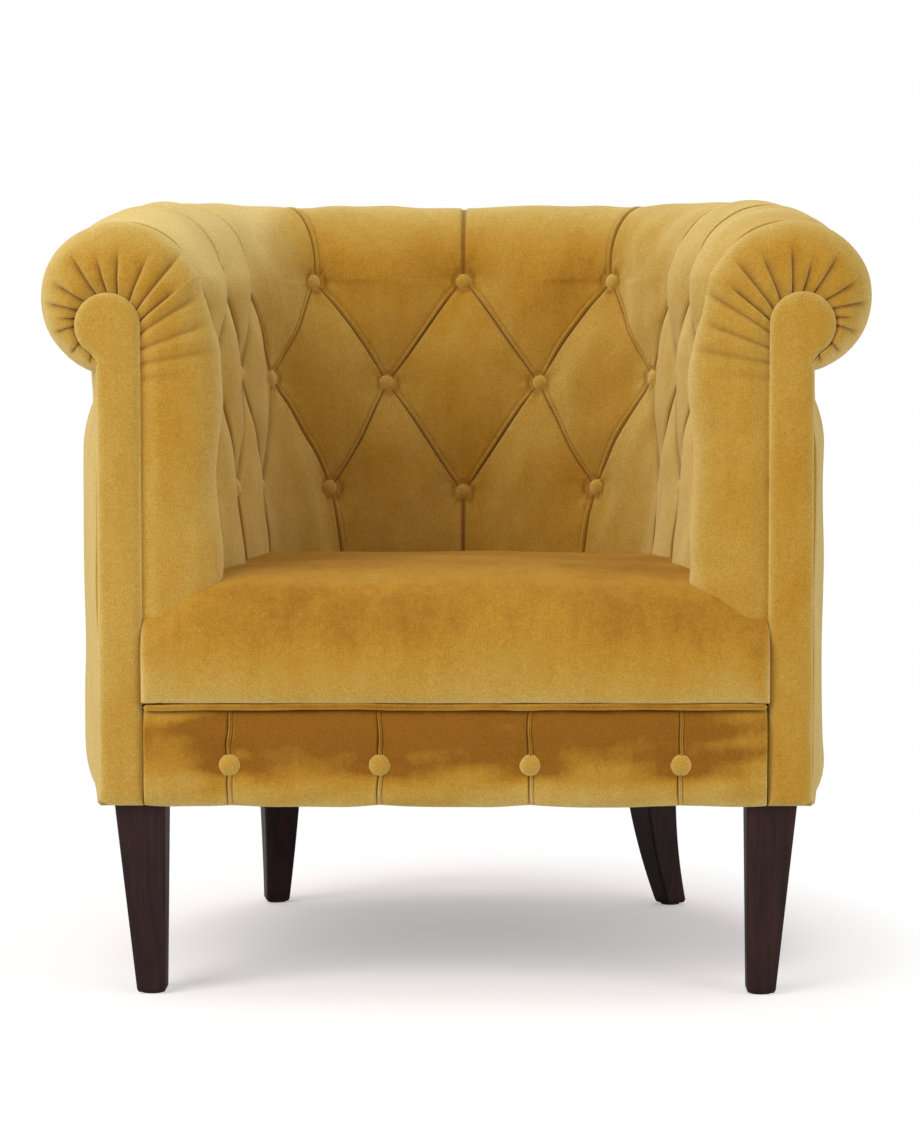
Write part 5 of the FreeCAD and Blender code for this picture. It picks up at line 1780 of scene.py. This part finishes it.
@dataclass
class FrontBorder:
    """Padded border under the seat, drawn in by four buttons with a pleat above and below each."""

    velvet: bpy.types.Material
    half_width: float = 317.8
    across: int = 480
    crowd: float = 5.0
    up: int = 52
    pitch: float = 153.6
    button_z: float = 241.0
    puff: float = 4.5
    face_y: float = -2.0
    back_y: float = 24.0
    scallop: float = 2.2
    dimple: float = 6.0
    dimple_r: float = 21.0
    groove: float = 2.8
    ridge: float = 1.6
    round_in: float = 6.0

    def button_xs(self) -> Array:
        """Places of the four buttons across."""
        return self.pitch * (np.arange(4) - 1.5)

    def build(self) -> bpy.types.Object:
        """Builds the border: its front puffs between pleats and rounds over at top and bottom.

        Puff height is T(u) = 1 - (1 - 2u) ^ 2.2 of the distance to the nearest pleat, times a
        round section in height, less a dimple at each button and a narrow groove at each pleat.

        Returns:
            The piece.
        """
        pleats = self.button_xs()
        even = np.linspace(-self.half_width, self.half_width, 4001)
        count = np.cumsum(1.0 + self.crowd * np.exp(-((even[:, None] - pleats) / 6.0) ** 2).sum(axis=1))
        x = np.interp(np.linspace(count[0], count[-1], self.across), count, even)[None, :]
        v = np.linspace(0.0, 1.0, self.up)[:, None]
        apart = x[..., None] - pleats
        beside = np.take_along_axis(apart, np.abs(apart).argmin(axis=-1)[..., None], axis=-1)[..., 0]
        gap = np.abs(beside)
        to_end = self.half_width - np.abs(x)
        puff = 1.0 - (1.0 - np.clip(2.0 * gap / self.pitch, 0.0, 1.0)) ** 2.2
        puff = puff * (1.0 - np.exp(-to_end / 9.0))
        ripple = Ripple(31, 22, 35.0, 160.0, 0.55)
        scallop = self.scallop * puff * (1.0 - 0.5 * (np.abs(x) / self.half_width) ** 4)
        scallop = scallop + ripple(x, 0.0 * x) * 0.4
        z_low = Tub.body_bottom + 1.5 - scallop
        z = z_low + (Tub.border_top + 1.0 - z_low) * v
        section = 1.0 - np.abs(2.0 * v - 1.0) ** 3.2
        distance = np.sqrt(gap ** 2 + (z - self.button_z) ** 2)
        dimple = self.dimple * np.exp(-(distance / self.dimple_r) ** 1.6)
        wander = beside + 1.2 * ripple(z * 1.5, x + 0.0 * z)
        valley = np.exp(-((wander + 2.2) / 1.1) ** 2) + 0.6 * np.exp(-((wander - 2.6) / 1.1) ** 2)
        ridge = self.ridge * np.exp(-(wander / 1.5) ** 2)
        groove = (self.groove * valley - ridge) * section ** 0.3
        turn = np.arctan2(z - self.button_z, gap + 1e-6)
        wrinkle = 0.5 * np.cos(6.0 * turn) * np.exp(-((distance - 17.0) / 8.0) ** 2)
        edge = self.round_in * (1.0 - section) ** 2.0
        y = self.face_y - self.puff * (0.35 + 0.65 * puff) * section + edge + dimple + groove + wrinkle
        y = y + ripple(x + 0.0 * z, z) * section
        front = np.stack([x + 0.0 * z, y, z], axis=-1)
        back_z = np.linspace(Tub.border_top + 1.0, Tub.body_bottom + 2.0, 5)[:, None]
        level = 0.0 * x + 0.0 * back_z
        back = np.stack([x + level, self.back_y + level, back_z + level], axis=-1)
        points = np.concatenate([front, back])
        rows, columns = points.shape[:2]
        quads = grid_quads(rows, columns, wrap_rows=True)
        ends = end_caps(rows, columns)
        # Painted shade in the grooves of the pleats.
        painted_crease_shade = np.concatenate([np.clip(valley, 0.0, 1.0) * section ** 0.3, 0.0 * back[..., 0]])
        # Nap with painted shade and light: deep under the piping and beside each button, pale below and
        # towards the ends, with a slow random tone.
        below = smooth((self.button_z + 25.0 - z) / 62.0)
        outer = smooth((np.abs(x) - 235.0) / 70.0)
        pile_lie_and_painted_light = -0.95 + 1.55 * below + 0.55 * outer * (1.0 - below)
        pile_lie_and_painted_light = pile_lie_and_painted_light - 1.1 * np.exp(-(gap / 30.0) ** 2) * np.exp(-((z - self.button_z + 3.0) / 10.0) ** 2)
        pile_lie_and_painted_light = pile_lie_and_painted_light + 0.14 * Ripple(37, 24, 30.0, 150.0, 1.0)(x * 0.6 + 0.0 * z, z * 1.6)
        nap = np.concatenate([pile_lie_and_painted_light + 0.0 * y, 0.0 * back[..., 0]])
        piece = new_piece("front_border_cover", points.reshape(-1, 3), [quads] + ends,
                          self.velvet, {"painted_crease_shade": painted_crease_shade, "nap": nap})
        dress(piece, ("front_border",))
        return piece

    def buttons(self, maker: Buttons) -> bpy.types.Object:
        """Builds the border's buttons.

        Args:
            maker: the maker of buttons.

        Returns:
            The piece.
        """
        xs = self.button_xs()
        centres = np.stack([xs, 0.0 * xs - 1.0, 0.0 * xs + self.button_z], axis=-1)
        outward = np.tile(np.array([0.0, 1.0, 0.0]), (len(xs), 1))
        return maker.build("border_button_set", centres, outward, ("border_buttons",))


@dataclass
class Piping:
    """Covered cord sewn along the top of the border."""

    velvet: bpy.types.Material
    half_width: float = 318.0
    radius: float = 3.3
    set_y: float = -2.2
    lift: float = 4.0
    along: int = 260
    around: int = 20

    def build(self) -> bpy.types.Object:
        """Builds the piping: a round section carried along a slightly uneven line.

        Returns:
            The piece.
        """
        x = np.linspace(-self.half_width, self.half_width, self.along)
        ripple = Ripple(17, 12, 60.0, 240.0, 0.35)
        y = self.set_y + ripple(x, 0.0 * x)
        z = Tub.border_top + self.lift + ripple(x, 0.0 * x + 400.0)
        ends = np.sqrt(np.clip((self.half_width - np.abs(x)) / 3.0, 0.0, 1.0))
        turn = np.arange(self.around) * 2.0 * np.pi / self.around
        radius = (self.radius + 0.2 * ripple(x * 3.0, 0.0 * x))[:, None] * ends[:, None]
        points = np.stack([x[:, None] + 0.0 * turn, y[:, None] + radius * np.cos(turn),
                           z[:, None] + radius * np.sin(turn)], axis=-1)
        quads = grid_quads(self.along, self.around, wrap_columns=True)
        piece = new_piece("front_piping_cover", points.reshape(-1, 3), [quads], self.velvet,
                          {"nap": np.full(points.shape[:2], -0.4)})
        merge_close(piece)
        dress(piece, ("front_piping",))
        return piece


# ---------------------------------------------------------------- frame finishes


@dataclass
class FrameFinishes:
    """Finishes of the frame's own nodes, which keep their shape."""

    nodes: dict
    legs: Tuple[str, ...] = ("front_leg_left", "front_leg_right", "rear_leg_left", "rear_leg_right")
    steel: Tuple[str, ...] = ("seat_springs", "spring_clips", "leg_bolts", "tee_nuts")
    webs: Tuple[str, ...] = ("arm_webbing_left", "arm_webbing_right", "back_webbing")
    linings: Tuple[str, ...] = ("dust_cover",)
    ties: Tuple[str, ...] = ("button_ties",)
    platforms: Tuple[str, ...] = ("seat_platform",)
    glides: Tuple[str, ...] = ("leg_glides",)

    def paint(self, names: Sequence[str], finish: bpy.types.Material) -> None:
        """Gives nodes a material.

        Args:
            names: node names.
            finish: the material.
        """
        for name in names:
            slots = self.nodes[name].data.materials
            slots.clear()
            slots.append(finish)
        LOG.info("%s on %d nodes", finish.name, len(names))

    def apply(self) -> None:
        """Gives every node of the frame its finish; what is left is bare wood."""
        beech = PaleWood().build()
        self.paint(self.legs, DarkWood().build())
        self.paint(self.steel, Steel().build())
        self.paint(self.webs, Woven("jute_webbing", (120, 92, 58), (176, 146, 104), 500.0).build())
        self.paint(self.ties, Woven("linen_twine", (186, 176, 150), (222, 214, 192), 1500.0).build())
        self.paint(self.platforms, Woven("seat_hessian", (130, 104, 70), (184, 154, 112), 700.0).build())
        self.paint(self.linings, Woven("black_lining", (14, 14, 15), (34, 34, 36), 1100.0).build())
        self.paint(self.glides, Moulded().build())
        done = set(self.legs + self.steel + self.webs + self.ties + self.platforms + self.linings
                   + self.glides)
        rest = [name for name in self.nodes if name not in done]
        self.paint(rest, beech)


# ---------------------------------------------------------------- studio


@dataclass
class Studio:
    """White floor, soft lamps and the camera."""

    eye: Tuple[float, float, float] = (0.065, -3.641, 0.648)
    azimuth: float = 1.03
    pitch: float = -3.544
    roll: float = 0.094
    lens: float = 103.16
    floor_size: float = 14.0
    fade_from: float = 0.43
    fade_to: float = 0.69
    floor_glow: float = 0.33
    sky_strength: float = 0.41

    def floor(self) -> bpy.types.Object:
        """White floor that keeps the chair's shadow: part of its light is its own.

        The share of its own light grows with the distance from the chair, so that it fades
        into the white backdrop.

        Returns:
            The floor.
        """
        t = NodeTree("studio_floor")
        place = t.add("TexCoord").outputs["Object"]
        wide = t.add("Mapping", Vector=place, Scale=(1.3, 1.0, 1.0)).outputs[0]
        far = t.add("VectorMath", operation="LENGTH", _0=wide).outputs["Value"]
        away = t.add("MapRange", Value=far, _1=self.fade_from, _2=self.fade_to, _3=0.0, _4=1.0).outputs[0]
        seen = t.add("LightPath").outputs["Is Camera Ray"]
        matt = t.add("BsdfDiffuse", Color=(0.93, 0.87, 0.86, 1.0))
        own = t.add("Emission", Color=(1.0, 0.98, 0.98, 1.0), Strength=self.floor_glow)
        both = t.add("AddShader", _0=matt.outputs[0], _1=own.outputs[0])
        white = t.add("Emission", Color=(1.0, 1.0, 1.0, 1.0), Strength=1.0)
        faded = t.add("MixShader", _0=away, _1=both.outputs[0], _2=white.outputs[0])
        plain = t.add("BsdfDiffuse", Color=(0.8, 0.8, 0.8, 1.0))
        shader = t.add("MixShader", _0=seen, _1=plain.outputs[0], _2=faded.outputs[0])
        finish = t.finish(shader)
        mesh = bpy.data.meshes.new("studio_floor")
        size = self.floor_size
        mesh.from_pydata([(-size, -size, 0.0), (size, -size, 0.0), (size, size, 0.0), (-size, size, 0.0)],
                         [], [(0, 1, 2, 3)])
        mesh.materials.append(finish)
        floor = bpy.data.objects.new("studio_floor", mesh)
        bpy.context.collection.objects.link(floor)
        return floor

    def world(self) -> None:
        """White surroundings: plain white to the camera, soft light to everything else."""
        world = bpy.data.worlds.new("studio")
        bpy.context.scene.world = world
        world.use_nodes = True
        nodes = world.node_tree.nodes
        links = world.node_tree.links
        nodes.clear()
        path = nodes.new("ShaderNodeLightPath")
        light = nodes.new("ShaderNodeBackground")
        light.inputs["Color"].default_value = (1.0, 0.985, 0.96, 1.0)
        light.inputs["Strength"].default_value = self.sky_strength
        shown = nodes.new("ShaderNodeBackground")
        shown.inputs["Color"].default_value = (1.0, 1.0, 1.0, 1.0)
        shown.inputs["Strength"].default_value = 1.0
        mix = nodes.new("ShaderNodeMixShader")
        output = nodes.new("ShaderNodeOutputWorld")
        links.new(path.outputs["Is Camera Ray"], mix.inputs[0])
        links.new(light.outputs[0], mix.inputs[1])
        links.new(shown.outputs[0], mix.inputs[2])
        links.new(mix.outputs[0], output.inputs["Surface"])

    def lamp(self, name: str, place: Tuple[float, float, float], aim: Tuple[float, float, float],
             size: float, watts: float) -> None:
        """Adds a square soft lamp.

        Args:
            name: its name.
            place: where it hangs.
            aim: the point it faces.
            size: its side in metres.
            watts: its power.
        """
        data = bpy.data.lights.new(name, "AREA")
        data.energy = watts
        data.size = size
        lamp = bpy.data.objects.new(name, data)
        bpy.context.collection.objects.link(lamp)
        lamp.location = place
        lamp.rotation_euler = (Vector(aim) - Vector(place)).to_track_quat("-Z", "Y").to_euler()

    def camera(self) -> None:
        """Adds the camera: level lens axis turned by the azimuth, the pitch and the roll."""
        data = bpy.data.cameras.new("camera")
        data.lens = self.lens
        data.sensor_width = 36.0
        data.clip_end = 100.0
        camera = bpy.data.objects.new("camera", data)
        bpy.context.collection.objects.link(camera)
        camera.location = self.eye
        camera.rotation_mode = "XYZ"
        camera.rotation_euler = (math.radians(90.0 + self.pitch), math.radians(self.roll),
                                 math.radians(self.azimuth))
        bpy.context.scene.camera = camera

    def build(self) -> None:
        """Builds the studio."""
        self.floor()
        self.world()
        self.lamp("key", place=(-2.4, -2.8, 2.6), aim=(0.0, 0.0, 0.45), size=2.4, watts=100.0)
        self.lamp("fill", place=(2.7, -2.6, 1.2), aim=(0.0, 0.0, 0.45), size=2.2, watts=34.0)
        self.lamp("top", place=(-0.2, 0.4, 3.2), aim=(0.0, 0.1, 0.4), size=2.4, watts=26.0)
        scene = bpy.context.scene
        scene.view_settings.view_transform = "Standard"
        self.camera()


# ---------------------------------------------------------------- everything in order


def main() -> None:
    """Builds the chair and its studio."""
    logging.basicConfig(level=logging.INFO, format="%(name)s: %(message)s")
    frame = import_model()
    FrameFinishes(frame["nodes"]).apply()
    velvet = Velvet().build()
    InsideCover(velvet).build()
    centres, outward = wall_button_places()
    maker = Buttons(velvet)
    maker.build("wall_button_set", centres, outward, ("wall_buttons",))
    for side in Side:
        ArmFacing(velvet, side).build()
    OutsideCover(velvet).build()
    Seat(velvet).build()
    border = FrontBorder(velvet)
    border.build()
    border.buttons(maker)
    Piping(velvet).build()
    Studio().build()


if __name__ == "__main__":
    main()
